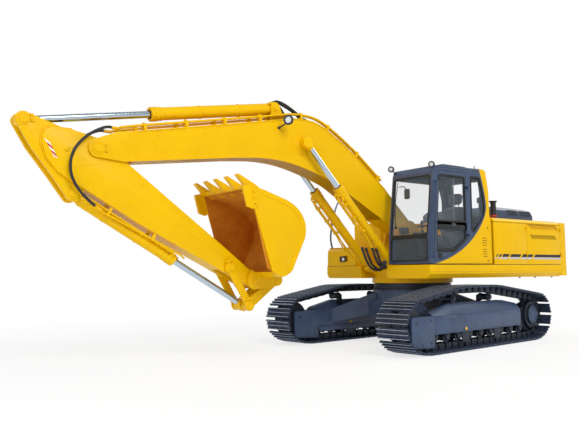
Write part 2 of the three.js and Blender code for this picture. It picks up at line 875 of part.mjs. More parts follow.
function makeCabShell() {
  const outer = sidePlate(cabSide, cabRight, cabLeft);
  const inner = sidePlate(inset(cabSide, cabWall), cabRight + cabWall, cabLeft - cabWall);
  const through = 60;
  const openings = [
    sidePlate(doorOutline(), cabLeft - through, cabLeft + through),
    sidePlate(quarterWindow, cabLeft - through, cabLeft + through),
    sidePlate(rightWindow, cabRight - through, cabRight + through),
    sidePlate(screenCut(screens.upper, -60, 80), ...frontOpening),
    sidePlate(screenCut(screens.lower, -60, 80), ...frontOpening),
    box(-700, -480, cabRight + 150, cabLeft - 150, 2280, 2900),
  ];
  const hatch = box(-250, 420, cabRight + 180, cabLeft - 180, 3050, 3125);
  const hatchHollow = box(-200, 370, cabRight + 230, cabLeft - 230, 2950, 3095);
  return cut(join(outer, hatch), inner, openings, hatchHollow);
}

function makeCabHinge(z) {
  return join(
    post(doorHinge.x, doorHinge.y, 13, z, z + 45, 12),
    box(doorHinge.x - 45, doorHinge.x, cabLeft - 15, doorHinge.y, z, z + 45),
  );
}

const cabHingeHeights = [1880, 2700];

function makeCabParts() {
  const shell = makeCabShell();
  const rear = (offset) => sidePlate(rearCurve(offset), 0, 2000, 14);
  const hinges = cabHingeHeights.map((z) => makeCabHinge(z));
  place(machine, "cab_frame", join(cut(shell, rear(seatGap)), hinges), slate());
  place(machine, "cab_rear_shell", shell.intersect(rear(0)), yellow());
}

function makeCabDoor() {
  const slab = sidePlate(doorOutline(), ...leftWall);
  const frameCut = cut(sidePlate(doorOutline(), cabLeft - 100, cabLeft + 100), trimmedDoor());
  const windows = [doorWindow, doorLowerWindow].map((w) => sidePlate(w, cabLeft - 100, cabLeft + 100));
  const knuckles = cabHingeHeights.map((z) =>
    join(
      post(doorHinge.x, doorHinge.y, 13, z + 45 + pinGap, z + 90, 12),
      box(doorHinge.x, doorHinge.x + 75, cabLeft + 3, doorHinge.y, z + 45 + pinGap, z + 90),
      box(doorHinge.x + 45, doorHinge.x + 75, cabLeft - 12, cabLeft + 5, z + 45 + pinGap, z + 90),
    ),
  );
  return join(cut(slab, frameCut, windows), knuckles);
}

// the door's own edge, a gap inside the doorway
function trimmedDoor() {
  const points = doorOutline().getPoints(8).map((p) => [p.x, p.y]);
  const last = points[points.length - 1];
  if (distance(points[0], last) < 1) points.pop();
  return sidePlate(inset(points, doorGap), cabLeft - 101, cabLeft + 101);
}

const paneIn = (points, wall) =>
  sidePlate(inset(points, seatGap), wall - glassThickness / 2, wall + glassThickness / 2);

function makeSeat() {
  const middle = (cabRight + cabLeft) / 2 + 20;
  const side = [
    [-90, cabBottom + cabWall + seatGap],
    [180, cabBottom + cabWall + seatGap],
    [160, 1700],
    [330, 1760],
    [330, 1880],
    [20, 1860],
    [-130, 2440],
    [-250, 2420],
    [-150, 1800],
    [-60, 1700],
  ];
  return sidePlate(side, middle - 240, middle + 240);
}

function makeConsole() {
  const side = [
    [-60, cabBottom + cabWall + seatGap],
    [260, cabBottom + cabWall + seatGap],
    [480, 1820],
    [480, 1980],
    [-60, 1900],
  ];
  return sidePlate(side, cabRight + cabWall + 20, cabRight + 190);
}

// ---- boom ----

const boomFootHalf = 200;
const forkRoot = 5640;
const rodEyeWidth = 110;
const armEyeHalf = 55;
const armEarInner = 70;
const armEarOuter = 122;
const eyeRadius = 92;
const slotEase = 22;

function makeBoom() {
  const [tipX, tipZ] = pins.boomTip;
  const [footX, footZ] = pins.boomFoot;
  const shape = new THREE.Shape();
  shape.absarc(footX, footZ, 135, Math.PI * 0.72, Math.PI * 1.62, false);
  shape.lineTo(950, 2215);
  shape.lineTo(1750, 2625);
  splineTo(shape, [
    [2130, 2815],
    [2870, 3020],
    [3440, 3072],
    [4020, 3030],
  ]);
  shape.lineTo(5800, 2800);
  shape.absarc(tipX, tipZ, 126, -Math.PI * 0.45, Math.PI * 0.42, false);
  shape.lineTo(5910, 3205);
  shape.lineTo(5630, 3250);
  shape.lineTo(3400, 3690);
  splineTo(shape, [
    [3130, 3745],
    [2860, 3790],
    [2440, 3772],
    [2010, 3578],
    [1550, 3290],
  ]);
  shape.lineTo(840, 2752);
  shape.closePath();
  const body = sidePlate(shape, -boomHalfWidth, boomHalfWidth, 3);
  const fork = box(forkRoot, tipX + 300, -armHalfWidth - sideGap, armHalfWidth + sideGap, 2600, 3500);
  const tipPin = shaft(pins.boomTip, 55, -boomHalfWidth - 25, boomHalfWidth + 25);
  const footBore = bore(pins.boomFoot, 60, -boomHalfWidth - 5, boomHalfWidth + 5);
  const ear = roundedBar(pins.armCylinderHead, [3130, 3600], 90, 150);
  const ears = bothSides.map((side) => {
    const edges = [side * (armEyeHalf + sideGap), side * (armEyeHalf + sideGap + 40)];
    return sidePlate(ear, Math.min(...edges), Math.max(...edges));
  });
  const headPin = shaft(pins.armCylinderHead, pinRadius, -125, 125);
  const bossReach = cylinderOffset - rodEyeWidth / 2 - sideGap;
  const rodBoss = shaft(pins.boomCylinderRod, 120, -bossReach, bossReach);
  return join(cut(body, fork, footBore), tipPin, ears, headPin, rodBoss);
}

// ---- cylinders ----

function makeBarrel(from, to, y, radius, rodRadius, length, eyeHalf, pin = pinRadius) {
  const eye = shaft(from, radius, y - eyeHalf, y + eyeHalf);
  const body = barBetween(from, to, y, radius, 40, length - 120);
  const gland = barBetween(from, to, y, radius * 1.12, length - 130, length);
  const hollow = barBetween(from, to, y, boreRadius(rodRadius), 160, length + 10, boreTurn);
  const sideFlats = bothSides.map((side) => {
    const edges = [y + side * eyeHalf, y + side * (radius + 20)];
    const [x, z] = from;
    return box(x - 140, x + 140, Math.min(...edges), Math.max(...edges), z - 140, z + 140);
  });
  return cut(join(eye, body, gland), hollow, sideFlats, bore(from, pin, y - 200, y + 200));
}

function makeRod(from, to, y, rodRadius, start, eyeHalf, eye = eyeRadius) {
  const reach = distance(from, to);
  return join(barBetween(from, to, y, rodRadius, start, reach - 20), shaft(to, eye, y - eyeHalf, y + eyeHalf));
}

const rodRadii = { boom: 48, arm: 52, bucket: 46 };
const barrelLengths = { boom: 1860, arm: 2190, bucket: 1720 };
const rodStarts = { boom: 1150, arm: 1980, bucket: 1330 };

// ---- arm ----

const turnAbout = ([x, z], [cx, cz], degrees) => {
  const angle = THREE.MathUtils.degToRad(degrees);
  const [dx, dz] = [x - cx, z - cz];
  const [cos, sin] = [Math.cos(angle), Math.sin(angle)];
  return [cx + dx * cos - dz * sin, cz + dx * sin + dz * cos];
};
const heading = (from, to) => THREE.MathUtils.radToDeg(Math.atan2(to[1] - from[1], to[0] - from[0]));

// the arm cylinder tilts and strokes at a constant share of the arm's swing, right at both ends
const armTravel = 115; // degrees the arm swings out
const rodPinOut = turnAbout(pins.armCylinderRod, pins.boomTip, armTravel);
const { armCylinderHead, armCylinderRod } = pins;
const armCylinderTilt = heading(armCylinderHead, rodPinOut) - heading(armCylinderHead, armCylinderRod);
const armCylinderStroke = distance(armCylinderHead, rodPinOut) - distance(armCylinderHead, armCylinderRod);

// where the rod passes through the arm's tail, at each share of the swing
function makeRodSlot(halfWidth) {
  const steps = 10;
  const rest = heading(pins.armCylinderHead, pins.armCylinderRod);
  const length = distance(pins.armCylinderHead, pins.armCylinderRod);
  return Array.from({ length: steps + 1 }, (_, i) => {
    const share = i / steps;
    const angle = THREE.MathUtils.degToRad(rest + share * armCylinderTilt);
    const reach = length + share * armCylinderStroke;
    const [headX, headZ] = pins.armCylinderHead;
    const eye = [headX + reach * Math.cos(angle), headZ + reach * Math.sin(angle)];
    const turn = -share * armTravel;
    const eyeHere = turnAbout(eye, pins.boomTip, turn);
    const headHere = turnAbout(pins.armCylinderHead, pins.boomTip, turn);
    const inner = toward(eyeHere, headHere, 900);
    const bar = roundedBar(eyeHere, inner, eyeRadius + slotEase, rodRadii.arm + slotEase);
    return sidePlate(bar, -halfWidth, halfWidth, 3);
  });
}

function makeArm() {
  const shape = new THREE.Shape();
  const [pinX, pinZ] = pins.bucketPin;
  shape.absarc(pinX, pinZ, 105, Math.PI * 0.62, Math.PI * 1.6, false);
  shape.lineTo(4290, 1335);
  shape.lineTo(5560, 1965);
  shape.lineTo(6400, 2430);
  shape.lineTo(6690, 2600);
  shape.lineTo(6830, 2760);
  shape.lineTo(6900, 2960);
  shape.quadraticCurveTo(6900, 3120, 6760, 3170);
  shape.lineTo(6510, 3165);
  shape.lineTo(6180, 3095);
  shape.lineTo(5760, 2800);
  shape.lineTo(4950, 2210);
  shape.lineTo(4290, 1730);
  shape.closePath();
  const body = sidePlate(shape, -armHalfWidth, armHalfWidth, 6);
  const ear = new THREE.Shape();
  ear.absarc(...pins.armCylinderRod, 100, -Math.PI * 0.1, Math.PI * 0.6, false);
  ear.lineTo(6640, 3190);
  ear.lineTo(6300, 2700);
  ear.lineTo(6330, 2340);
  ear.absarc(...pins.bucketCylinderHead, 105, Math.PI, Math.PI * 1.75, false);
  ear.lineTo(6760, 2560);
  ear.lineTo(7030, 2900);
  ear.closePath();
  const ears = bothSides.map((side) => {
    const edges = [side * armEarInner, side * armEarOuter];
    return sidePlate(ear, Math.min(...edges), Math.max(...edges), 6);
  });
  const gap = armEarInner;
  const rodSweep = join(makeRodSlot(gap));
  const sweep = roundedBar(pins.bucketCylinderHead, [5600, 1700], 130, 140);
  const headSweep = sidePlate(sweep, -gap - 30, gap + 30);
  const tipBore = bore(pins.bucketPin, pinRadius, -armHalfWidth - 5, armHalfWidth + 5);
  const rockerBore = bore(pins.rockerPivot, pinRadius, -armHalfWidth - 5, armHalfWidth + 5);
  const boomBore = bore(pins.boomTip, 55, -armHalfWidth - 5, armHalfWidth + 5);
  const headPin = shaft(pins.bucketCylinderHead, pinRadius, -armEarOuter - 15, armEarOuter + 15);
  return join(cut(join(body, ears), rodSweep, headSweep, tipBore, rockerBore, boomBore), headPin);
}

// ---- bucket linkage ----

const rockerInner = armHalfWidth + sideGap;
const rockerOuter = rockerInner + 34;
const linkInner = 72;
const linkOuter = armHalfWidth - 6;

function makeRockers() {
  const shape = roundedBar(pins.rockerPivot, pins.linkPin, 62, 56);
  const plates = bothSides.map((side) => {
    const edges = [side * rockerInner, side * rockerOuter].sort((a, b) => a - b);
    const ends = [shaft(pins.rockerPivot, 88, ...edges), shaft(pins.linkPin, 80, ...edges)];
    return join(sidePlate(shape, ...edges), ends);
  });
  return join(plates, shaft(pins.rockerPivot, pinRadius, -rockerOuter - 15, rockerOuter + 15));
}

function makeBucketLink() {
  const shape = roundedBar(pins.bucketLinkPin, pins.linkPin, 74, 72);
  const legs = bothSides.map((side) => {
    const edges = [side * linkInner, side * linkOuter];
    return sidePlate(shape, Math.min(...edges), Math.max(...edges));
  });
  const along = toward(pins.bucketLinkPin, pins.linkPin, 230);
  const web = sidePlate(roundedBar(pins.bucketLinkPin, along, 72, 56), -linkInner - 1, linkInner + 1);
  return cut(join(legs, web), bore(pins.bucketLinkPin, pinRadius, -linkOuter - 5, linkOuter + 5));
}

// ---- bucket ----

const bucketProfile = () => {
  const shape = new THREE.Shape();
  shape.moveTo(3700, 1310);
  shape.lineTo(4120, 2560);
  shape.lineTo(3840, 2500);
  shape.lineTo(3450, 2380);
  shape.bezierCurveTo(3150, 2280, 3010, 2050, 3090, 1800);
  shape.lineTo(3290, 1400);
  shape.quadraticCurveTo(3360, 1240, 3540, 1215);
  shape.closePath();
  return shape;
};

function makeBucket() {
  const outer = sidePlate(bucketProfile(), -bucketHalfWidth, bucketHalfWidth, 8);
  const hollow = new THREE.Shape();
  hollow.moveTo(3770, 1330);
  hollow.lineTo(4300, 2650);
  hollow.lineTo(4115, 2520);
  hollow.lineTo(3850, 2465);
  hollow.lineTo(3465, 2345);
  hollow.bezierCurveTo(3200, 2260, 3060, 2040, 3125, 1815);
  hollow.lineTo(3320, 1420);
  hollow.quadraticCurveTo(3390, 1270, 3550, 1250);
  hollow.closePath();
  const inside = bucketHalfWidth - bucketPlate;
  const shell = cut(outer, sidePlate(hollow, -inside, inside, 8));
  const ear = new THREE.Shape();
  ear.absarc(...pins.bucketLinkPin, 90, Math.PI * 0.75, Math.PI * 1.45, false);
  ear.absarc(...pins.bucketPin, 125, Math.PI * 1.45, Math.PI * 2.1, false);
  ear.lineTo(3760, 1330);
  ear.lineTo(3560, 1235);
  ear.lineTo(3400, 1275);
  ear.lineTo(3290, 1405);
  ear.lineTo(3200, 1580);
  ear.closePath();
  const earOuter = armHalfWidth + sideGap + 50;
  const ears = bothSides.map((side) => {
    const edges = [side * (armHalfWidth + sideGap), side * earOuter];
    return sidePlate(ear, Math.min(...edges), Math.max(...edges), 5);
  });
  const pinEnd = earOuter + 15;
  const earPins = [pins.bucketPin, pins.bucketLinkPin].map((pin) => shaft(pin, pinRadius, -pinEnd, pinEnd));
  const tooth = [
    [3930, 2470],
    [4130, 2530],
    [4290, 2700],
    [4270, 2712],
    [4010, 2590],
    [3910, 2535],
  ];
  const spacing = (2 * bucketHalfWidth - 150) / (toothCount - 1);
  const teeth = Array.from({ length: toothCount }, (_, i) => {
    const y = -bucketHalfWidth + 75 + spacing * i;
    return sidePlate(tooth, y - 45, y + 45);
  });
  const cutter = [
    [4125, 2560],
    [4240, 2530],
    [4160, 2235],
    [4045, 2205],
    [3950, 2260],
    [4010, 2480],
  ];
  const cutters = bothSides.map((side) => {
    const edges = [side * (bucketHalfWidth - 5), side * (bucketHalfWidth + 35)];
    return sidePlate(cutter, Math.min(...edges), Math.max(...edges));
  });
  return join(shell, ears, earPins, teeth, cutters);
}

// ---- placing the upper structure ----

place(machine, "upper_frame", makeUpperFrame(), yellow());
place(machine, "counterweight", makeCounterweight(), yellow());
place(machine, "engine_block", box(-2330, -1250, -420, 480, deckTop + seatGap, coverLip - 35), dark());
place(machine, "top_cover", makeTopCover(), yellow());
const bulkhead = box(bodyFront - 60, bodyFront - 20, -tankInner + 10, bayInner - 5, deckTop + seatGap, coverLip);
place(machine, "bay_bulkhead", bulkhead, yellow());
place(machine, "door_post", makeDoorPost(), yellow());
place(machine, "left_front_door", makeLeftFrontDoor(), yellow());
place(machine, "left_rear_door", makeBayDoor(deckRear, doorSplit, 1), yellow());
place(machine, "right_rear_door", makeBayDoor(deckRear, tankRear, -1), yellow());
place(machine, "engine_hood", makeHood(), slate());
place(machine, "hydraulic_tank", makeTank(tankRear, bodyFront - seatGap, bodyTop), yellow());
place(machine, "fuel_tank", makeTank(bodyFront, 190, bodyTop), yellow());
place(machine, "tool_box", makeToolBox(), yellow());
place(machine, "exhaust_stack", makeExhaust(), dark());
place(machine, "air_intake", makeIntake(), slate());
place(machine, "right_handrail", makeHandrail(), slate());
makeCabParts();
place(machine, "cab_door", makeCabDoor(), slate());
place(machine, "door_glass", paneIn(doorWindow, cabLeft - 22), glass());
place(machine, "door_lower_glass", paneIn(doorLowerWindow, cabLeft - 22), glass());
place(machine, "quarter_glass", paneIn(quarterWindow, cabLeft - 22), glass());
place(machine, "right_glass", paneIn(rightWindow, cabRight + 22), glass());
place(machine, "windscreen_upper", screenPane(screens.upper), glass());
place(machine, "windscreen_lower", screenPane(screens.lower), glass());
place(machine, "operator_seat", makeSeat(), dark());
place(machine, "control_console", makeConsole(), dark());
place(machine, "boom", makeBoom(), yellow());
[["left", 1], ["right", -1]].forEach(([side, outward]) => {
  const ends = [pins.boomCylinderFoot, pins.boomCylinderRod, outward * cylinderOffset];
  const eyeHalf = rodEyeWidth / 2;
  const barrel = makeBarrel(...ends, cylinderRadius, rodRadii.boom, barrelLengths.boom, eyeHalf);
  place(machine, `boom_cylinder_${side}`, barrel, yellow());
  place(machine, `boom_rod_${side}`, makeRod(...ends, rodRadii.boom, rodStarts.boom, eyeHalf), chrome());
});
const armEnds = [pins.armCylinderHead, pins.armCylinderRod, 0];
const armBarrel = makeBarrel(...armEnds, armCylinderRadius, rodRadii.arm, barrelLengths.arm, armEyeHalf);
place(machine, "arm_cylinder", armBarrel, yellow());
place(machine, "arm_rod", makeRod(...armEnds, rodRadii.arm, rodStarts.arm, armEyeHalf), chrome());
place(machine, "arm", makeArm(), yellow());
const bucketEnds = [pins.bucketCylinderHead, pins.linkPin, 0];
const { bucket: bucketRodRadius } = rodRadii;
const bucketBarrelSizes = [bucketCylinderRadius, bucketRodRadius, barrelLengths.bucket, armEyeHalf];
const bucketBarrel = makeBarrel(...bucketEnds, ...bucketBarrelSizes);
const bucketRod = makeRod(...bucketEnds, bucketRodRadius, rodStarts.bucket, armEyeHalf, 85);
place(machine, "bucket_cylinder", bucketBarrel, yellow());
place(machine, "bucket_rod", bucketRod, chrome());
place(machine, "rocker_links", makeRockers(), yellow());
place(machine, "bucket_link", makeBucketLink(), yellow());
place(machine, "bucket", makeBucket(), yellow());

function screenPane([zLow, zHigh]) {
  const [yLow, yHigh] = frontOpening;
  const pane = screenCut([zLow + seatGap, zHigh - seatGap], 18, 18 + glassThickness);
  return sidePlate(pane, yLow + seatGap, yHigh - seatGap);
}

machine.updateMatrixWorld(true);
const bounds = new THREE.Box3().setFromObject(machine, true);
machine.position.set(-(bounds.min.x + bounds.max.x) / 2, -(bounds.min.y + bounds.max.y) / 2, -bounds.min.z);
machine.updateMatrixWorld(true);
machine.userData = {
  pins,
  cylinderOffset,
  armTravel,
  doorHinge,
  doorPinY,
  frontDoorPin,
  deckRear,
  doorSplit,
  hoodFront,
  bodyTop,
  upperHalfWidth,
};

export default machine;
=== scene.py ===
import json
import math

import bmesh
import bpy
from mathutils import Matrix, Vector


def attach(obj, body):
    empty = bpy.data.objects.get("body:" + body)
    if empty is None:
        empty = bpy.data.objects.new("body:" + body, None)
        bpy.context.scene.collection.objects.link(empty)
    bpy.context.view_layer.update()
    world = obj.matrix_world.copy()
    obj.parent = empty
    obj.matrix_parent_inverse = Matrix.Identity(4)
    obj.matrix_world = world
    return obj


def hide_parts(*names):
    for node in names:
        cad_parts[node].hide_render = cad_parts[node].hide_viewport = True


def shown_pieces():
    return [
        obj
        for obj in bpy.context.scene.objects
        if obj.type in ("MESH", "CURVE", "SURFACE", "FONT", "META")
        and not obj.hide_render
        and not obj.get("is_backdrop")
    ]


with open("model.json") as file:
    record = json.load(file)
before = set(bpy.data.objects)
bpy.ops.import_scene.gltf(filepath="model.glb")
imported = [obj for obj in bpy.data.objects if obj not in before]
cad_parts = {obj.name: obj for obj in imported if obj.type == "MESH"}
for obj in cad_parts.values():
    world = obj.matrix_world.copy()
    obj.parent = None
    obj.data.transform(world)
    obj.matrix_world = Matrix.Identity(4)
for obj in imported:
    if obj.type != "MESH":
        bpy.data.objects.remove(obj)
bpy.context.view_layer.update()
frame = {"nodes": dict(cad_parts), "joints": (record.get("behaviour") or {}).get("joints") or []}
nodes = frame["nodes"]
joints = {joint["name"]: joint for joint in frame["joints"]}
swingAxis = Vector((joints["swing"]["pos_m"][0], joints["swing"]["pos_m"][1], 0))
print("frame loaded:", len(nodes), "nodes")


def at(x, y, z):
    return Vector((x, y, z)) + swingAxis  # metres forward, left and up from the slewing axis


def newMesh():
    return bmesh.new()


def roundOff(bm, faces, width, segments=2, minAngle=25):
    edges = {e for f in faces if f.is_valid for e in f.edges}
    sharp = [e for e in edges if len(e.link_faces) == 2 and e.calc_face_angle(0) > math.radians(minAngle)]
    if width > 0 and sharp:
        bmesh.ops.bevel(bm, geom=sharp, offset=width, segments=segments, profile=0.6, affect="EDGES",
                        clamp_overlap=True)


xAxis, yAxis, zAxis = (1, 0, 0), (0, 1, 0), (0, 0, 1)
axisFrames = {
    "y": lambda u, v, w: Vector((u, w, v)),  # outline in x, z
    "x": lambda u, v, w: Vector((w, u, v)),  # outline in y, z
    "z": lambda u, v, w: Vector((u, v, w)),  # outline in x, y
}


def openSkin(bm, rings, closed=False):
    # faces from each ring to the next
    faces = []
    for a, b in zip(rings, rings[1:] + rings[:closed]):
        for i in range(len(a)):
            j = (i + 1) % len(a)
            faces.append(bm.faces.new((a[i], a[j], b[j], b[i])))
    return faces


def closedSkin(bm, rings):
    # the same with both ends filled
    faces = [bm.faces.new(rings[0]), bm.faces.new(rings[-1][::-1])]
    for a, b in zip(rings, rings[1:]):
        for i in range(len(a)):
            j = (i + 1) % len(a)
            faces.append(bm.faces.new((a[j], a[i], b[i], b[j])))
    bmesh.ops.recalc_face_normals(bm, faces=faces)
    return faces


def circle(bm, centre, side, other, radius, sides):
    turns = [2 * math.pi * i / sides for i in range(sides)]
    return [bm.verts.new(centre + (side * math.cos(a) + other * math.sin(a)) * radius) for a in turns]


def addPlate(bm, outline, axis, low, high, bevel=0.0, segments=2, matrix=None):
    place = axisFrames[axis]
    bottom = [bm.verts.new(place(u, v, low)) for u, v in outline]
    top = [bm.verts.new(place(u, v, high)) for u, v in outline]
    faces = closedSkin(bm, [bottom, top])
    if matrix is not None:
        bmesh.ops.transform(bm, matrix=matrix, verts=bottom + top)
    roundOff(bm, faces, bevel, segments)


def oblong(u0, v0, u1, v1):
    return [(u0, v0), (u1, v0), (u1, v1), (u0, v1)]


def facing(sign, a, b):
    # two distances from the middle, towards that side, the lower one first
    return sorted((sign * a, sign * b))


def turnAt(place, angle, axis):
    return Matrix.Translation(place) @ Matrix.Rotation(angle, 4, axis)


def mirrored(points, sign):
    return [(x, sign * y, z) for x, y, z in points]


def addBox(bm, low, high, bevel=0.004, matrix=None, segments=2):
    addPlate(bm, oblong(*low[:2], *high[:2]), "z", low[2], high[2], bevel, segments, matrix)


def addTurned(bm, profile, origin, axis, sides=32):
    # profile: list of (distance along the axis, radius), closed on the axis at both ends
    direction = Vector(axis).normalized()
    side = direction.orthogonal().normalized()
    other = direction.cross(side)
    rings = []
    for along, radius in profile:
        centre = Vector(origin) + direction * along
        if radius < 1e-5:
            rings.append([bm.verts.new(centre)])
        else:
            rings.append(circle(bm, centre, side, other, radius, sides))
    faces = []
    for a, b in zip(rings, rings[1:]):
        for i in range(sides):
            j = (i + 1) % sides
            corners = [a[i % len(a)], a[j % len(a)], b[j % len(b)], b[i % len(b)]]
            unique = list(dict.fromkeys(corners))
            if len(unique) > 2:
                faces.append(bm.faces.new(unique))
    bmesh.ops.recalc_face_normals(bm, faces=faces)
    return faces


def addDisc(bm, origin, axis, radius, length, sides=32, chamfer=0.003):
    # a round bar with chamfered ends, from origin along axis
    edge = min(chamfer, radius * 0.4, length * 0.4)
    profile = [(0, 0), (0, radius - edge), (edge, radius), (length - edge, radius),
               (length, radius - edge), (length, 0)]
    return addTurned(bm, profile, origin, axis, sides)


def addHollow(bm, origin, axis, outer, inner, length, sides=40, chamfer=0.002):
    edge = chamfer
    loop = [(0, inner), (0, outer - edge), (edge, outer), (length - edge, outer), (length, outer - edge),
            (length, inner), (0, inner)]
    direction = Vector(axis).normalized()
    side = direction.orthogonal().normalized()
    other = direction.cross(side)
    rings = []
    for along, radius in loop[:-1]:
        centre = Vector(origin) + direction * along
        rings.append(circle(bm, centre, side, other, radius, sides))
    bmesh.ops.recalc_face_normals(bm, faces=openSkin(bm, rings, True))


def smoothPath(points, perSpan=8, closed=False):
    points = [Vector(p) for p in points]
    result = []
    spans = len(points) if closed else len(points) - 1
    for i in range(spans):
        if closed:
            p0, p1, p2, p3 = [points[(i + k) % len(points)] for k in (-1, 0, 1, 2)]
        else:
            p1, p2 = points[i], points[i + 1]
            p0 = points[i - 1] if i else p1 * 2 - p2
            p3 = points[i + 2] if i + 2 < len(points) else p2 * 2 - p1
        for k in range(perSpan):
            t = k / perSpan
            result.append(0.5 * (2 * p1 + (p2 - p0) * t + (2 * p0 - 5 * p1 + 4 * p2 - p3) * t * t
                                 + (3 * p1 - p0 - 3 * p2 + p3) * t ** 3))
    if not closed:
        result.append(points[-1].copy())
    return result


def roundedPath(points, radius, steps=5):
    # straight runs joined by bends of that radius
    points = [Vector(p) for p in points]
    path = [points[0]]
    for before, corner, after in zip(points, points[1:], points[2:]):
        toBefore, toAfter = (before - corner), (after - corner)
        reach = min(radius, toBefore.length * 0.48, toAfter.length * 0.48)
        start, end = corner + toBefore.normalized() * reach, corner + toAfter.normalized() * reach
        for k in range(steps + 1):
            t = k / steps
            path.append(start * (1 - t) ** 2 + corner * 2 * t * (1 - t) + end * t * t)
    path.append(points[-1])
    return path


def addTube(bm, path, radius, sides=12, closed=False):
    path = [Vector(p) for p in path]
    count = len(path)
    tangents = []
    for i in range(count):
        a = path[i - 1] if i or closed else path[0]
        b = path[(i + 1) % count] if i + 1 < count or closed else path[-1]
        tangents.append((b - a).normalized())
    normal = tangents[0].orthogonal().normalized()
    rings = []
    for i, p in enumerate(path):
        if i:
            turn = tangents[i - 1].rotation_difference(tangents[i])
            normal = (turn @ normal).normalized()
        other = tangents[i].cross(normal)
        size = radius[i] if isinstance(radius, (list, tuple)) else radius
        rings.append(circle(bm, p, normal, other, size, sides))
    faces = openSkin(bm, rings, closed)
    if not closed:
        faces.append(bm.faces.new(rings[0][::-1]))
        faces.append(bm.faces.new(rings[-1]))
    bmesh.ops.recalc_face_normals(bm, faces=faces)


def addBolt(bm, origin, axis, size, sides=6):
    # a hexagon head on a washer
    direction = Vector(axis).normalized()
    addDisc(bm, origin, direction, size * 0.72, size * 0.14, 16, 0.001)
    addDisc(bm, Vector(origin) + direction * size * 0.14, direction, size * 0.52, size * 0.42,
            sides, size * 0.05)


def addBead(bm, path, size=0.006, sides=6):
    addTube(bm, path, size, sides)


def makePiece(bm, name, body, material, replaces=(), slotName=None, smoothAngle=38):
    mesh = bpy.data.meshes.new(name)
    bm.to_mesh(mesh)
    bm.free()
    for polygon in mesh.polygons:
        polygon.use_smooth = True
    mesh.set_sharp_from_angle(angle=math.radians(smoothAngle))
    mesh.materials.append(material)
    piece = bpy.data.objects.new(name, mesh)
    bpy.context.scene.collection.objects.link(piece)
    slotName = slotName or usualSlots[material]
    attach(piece, body)
    if replaces:
        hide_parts(*replaces)
    return piece


def placed(bm, matrix, *words, **more):
    bmesh.ops.transform(bm, matrix=matrix, verts=bm.verts)
    makePiece(bm, *words, **more)


def softened(node, body, material, width, slotName=None):
    # the node's own shape with its edges eased
    bm = newMesh()
    bm.from_mesh(nodes[node].data)
    bmesh.ops.remove_doubles(bm, verts=bm.verts, dist=0.0002)
    bmesh.ops.dissolve_limit(bm, angle_limit=math.radians(1.0), verts=bm.verts, edges=bm.edges)
    bmesh.ops.recalc_face_normals(bm, faces=bm.faces)
    piece = makePiece(bm, node + "_shell", body, material, [node], slotName, 32)
    bevel = piece.modifiers.new("eased edges", "BEVEL")
    bevel.width = width
    bevel.segments = 2
    bevel.limit_method = "ANGLE"
    bevel.angle_limit = math.radians(28)
    bevel.harden_normals = True


def spread(bm, places):
    # one shape repeated at many places
    bm.verts.index_update()
    points = [v.co.copy() for v in bm.verts]
    faces = [[v.index for v in f.verts] for f in bm.faces]
    bm.free()
    result = newMesh()
    for place in places:
        made = [result.verts.new(place @ p) for p in points]
        for face in faces:
            result.faces.new([made[i] for i in face])
    return result


def linear(code):
    values = [int(code[i:i + 2], 16) / 255 for i in (1, 3, 5)]
    return (*[v / 12.92 if v <= 0.04045 else ((v + 0.055) / 1.055) ** 2.4 for v in values], 1)


def fill(tree, node, inputs):
    for socket, value in inputs.items():
        if isinstance(value, bpy.types.NodeSocket):
            tree.links.new(value, node.inputs[socket])
        else:
            node.inputs[socket].default_value = value
    return node


def addNode(tree, kind, inputs=None, **settings):
    node = tree.nodes.new(kind)
    for key, value in settings.items():
        setattr(node, key, value)
    return fill(tree, node, inputs or {})


def startMaterial(name):
    material = bpy.data.materials.new(name)
    material.use_nodes = True
    tree = material.node_tree
    place = addNode(tree, "ShaderNodeTexCoord").outputs["Object"]
    return material, tree, tree.nodes["Principled BSDF"], place


def addNoise(tree, place, cell, detail=2, rough=0.5):
    # cells about that many millimetres wide
    inputs = {"Vector": place, "Scale": 1000 / cell, "Detail": detail, "Roughness": rough}
    return addNode(tree, "ShaderNodeTexNoise", inputs).outputs["Fac"]


def addRange(tree, value, low, high, start=0, end=1):
    inputs = {"Value": value, "From Min": start, "From Max": end, "To Min": low, "To Max": high}
    return addNode(tree, "ShaderNodeMapRange", inputs).outputs["Result"]


def addRamp(tree, value, *stops):
    ramp = addNode(tree, "ShaderNodeValToRGB", {"Fac": value})
    for element, (position, code) in zip(ramp.color_ramp.elements, stops):
        element.position = position
        element.color = linear(code)
    return ramp.outputs["Color"]


def mixColours(tree, share, first, second):
    inputs = {"Factor": share, "A": first, "B": second}
    return addNode(tree, "ShaderNodeMix", inputs, data_type="RGBA").outputs["Result"]


def addBump(tree, height, strength, distance, **more):
    inputs = {"Height": height, "Strength": strength, "Distance": distance, **more}
    return addNode(tree, "ShaderNodeBump", inputs).outputs["Normal"]


def paintedSteel(name, finish):
    # sprayed enamel over plate: even gloss, faint orange peel, a little dust that dulls it in patches
    material, tree, shader, place = startMaterial(name)
    patches = addNoise(tree, place, finish["patch"], 5, 0.6)
    tone = addRamp(tree, patches, (0.32, finish["shade"]), (0.62, finish["colour"]))
    grime = addNoise(tree, place, finish["grime"], 8, 0.7)
    spots = addRange(tree, grime, 0.0, finish["dirt"], 0.56, 0.78)
    peel = addNoise(tree, place, finish["peel"])
    waves = addNoise(tree, place, finish["dent"], 1)
    plate = addBump(tree, waves, 0.25, finish["dentDepth"])
    fill(tree, shader,
         {"Base Color": mixColours(tree, spots, tone, linear(finish["dust"])),
          "Roughness": addRange(tree, grime, *finish["rough"], 0.3, 0.75),
          "Normal": addBump(tree, peel, 0.2, 0.0006, Normal=plate), "Coat Weight": finish["coat"],
          "Specular IOR Level": finish["shine"], "Coat Roughness": 0.12})
    return material


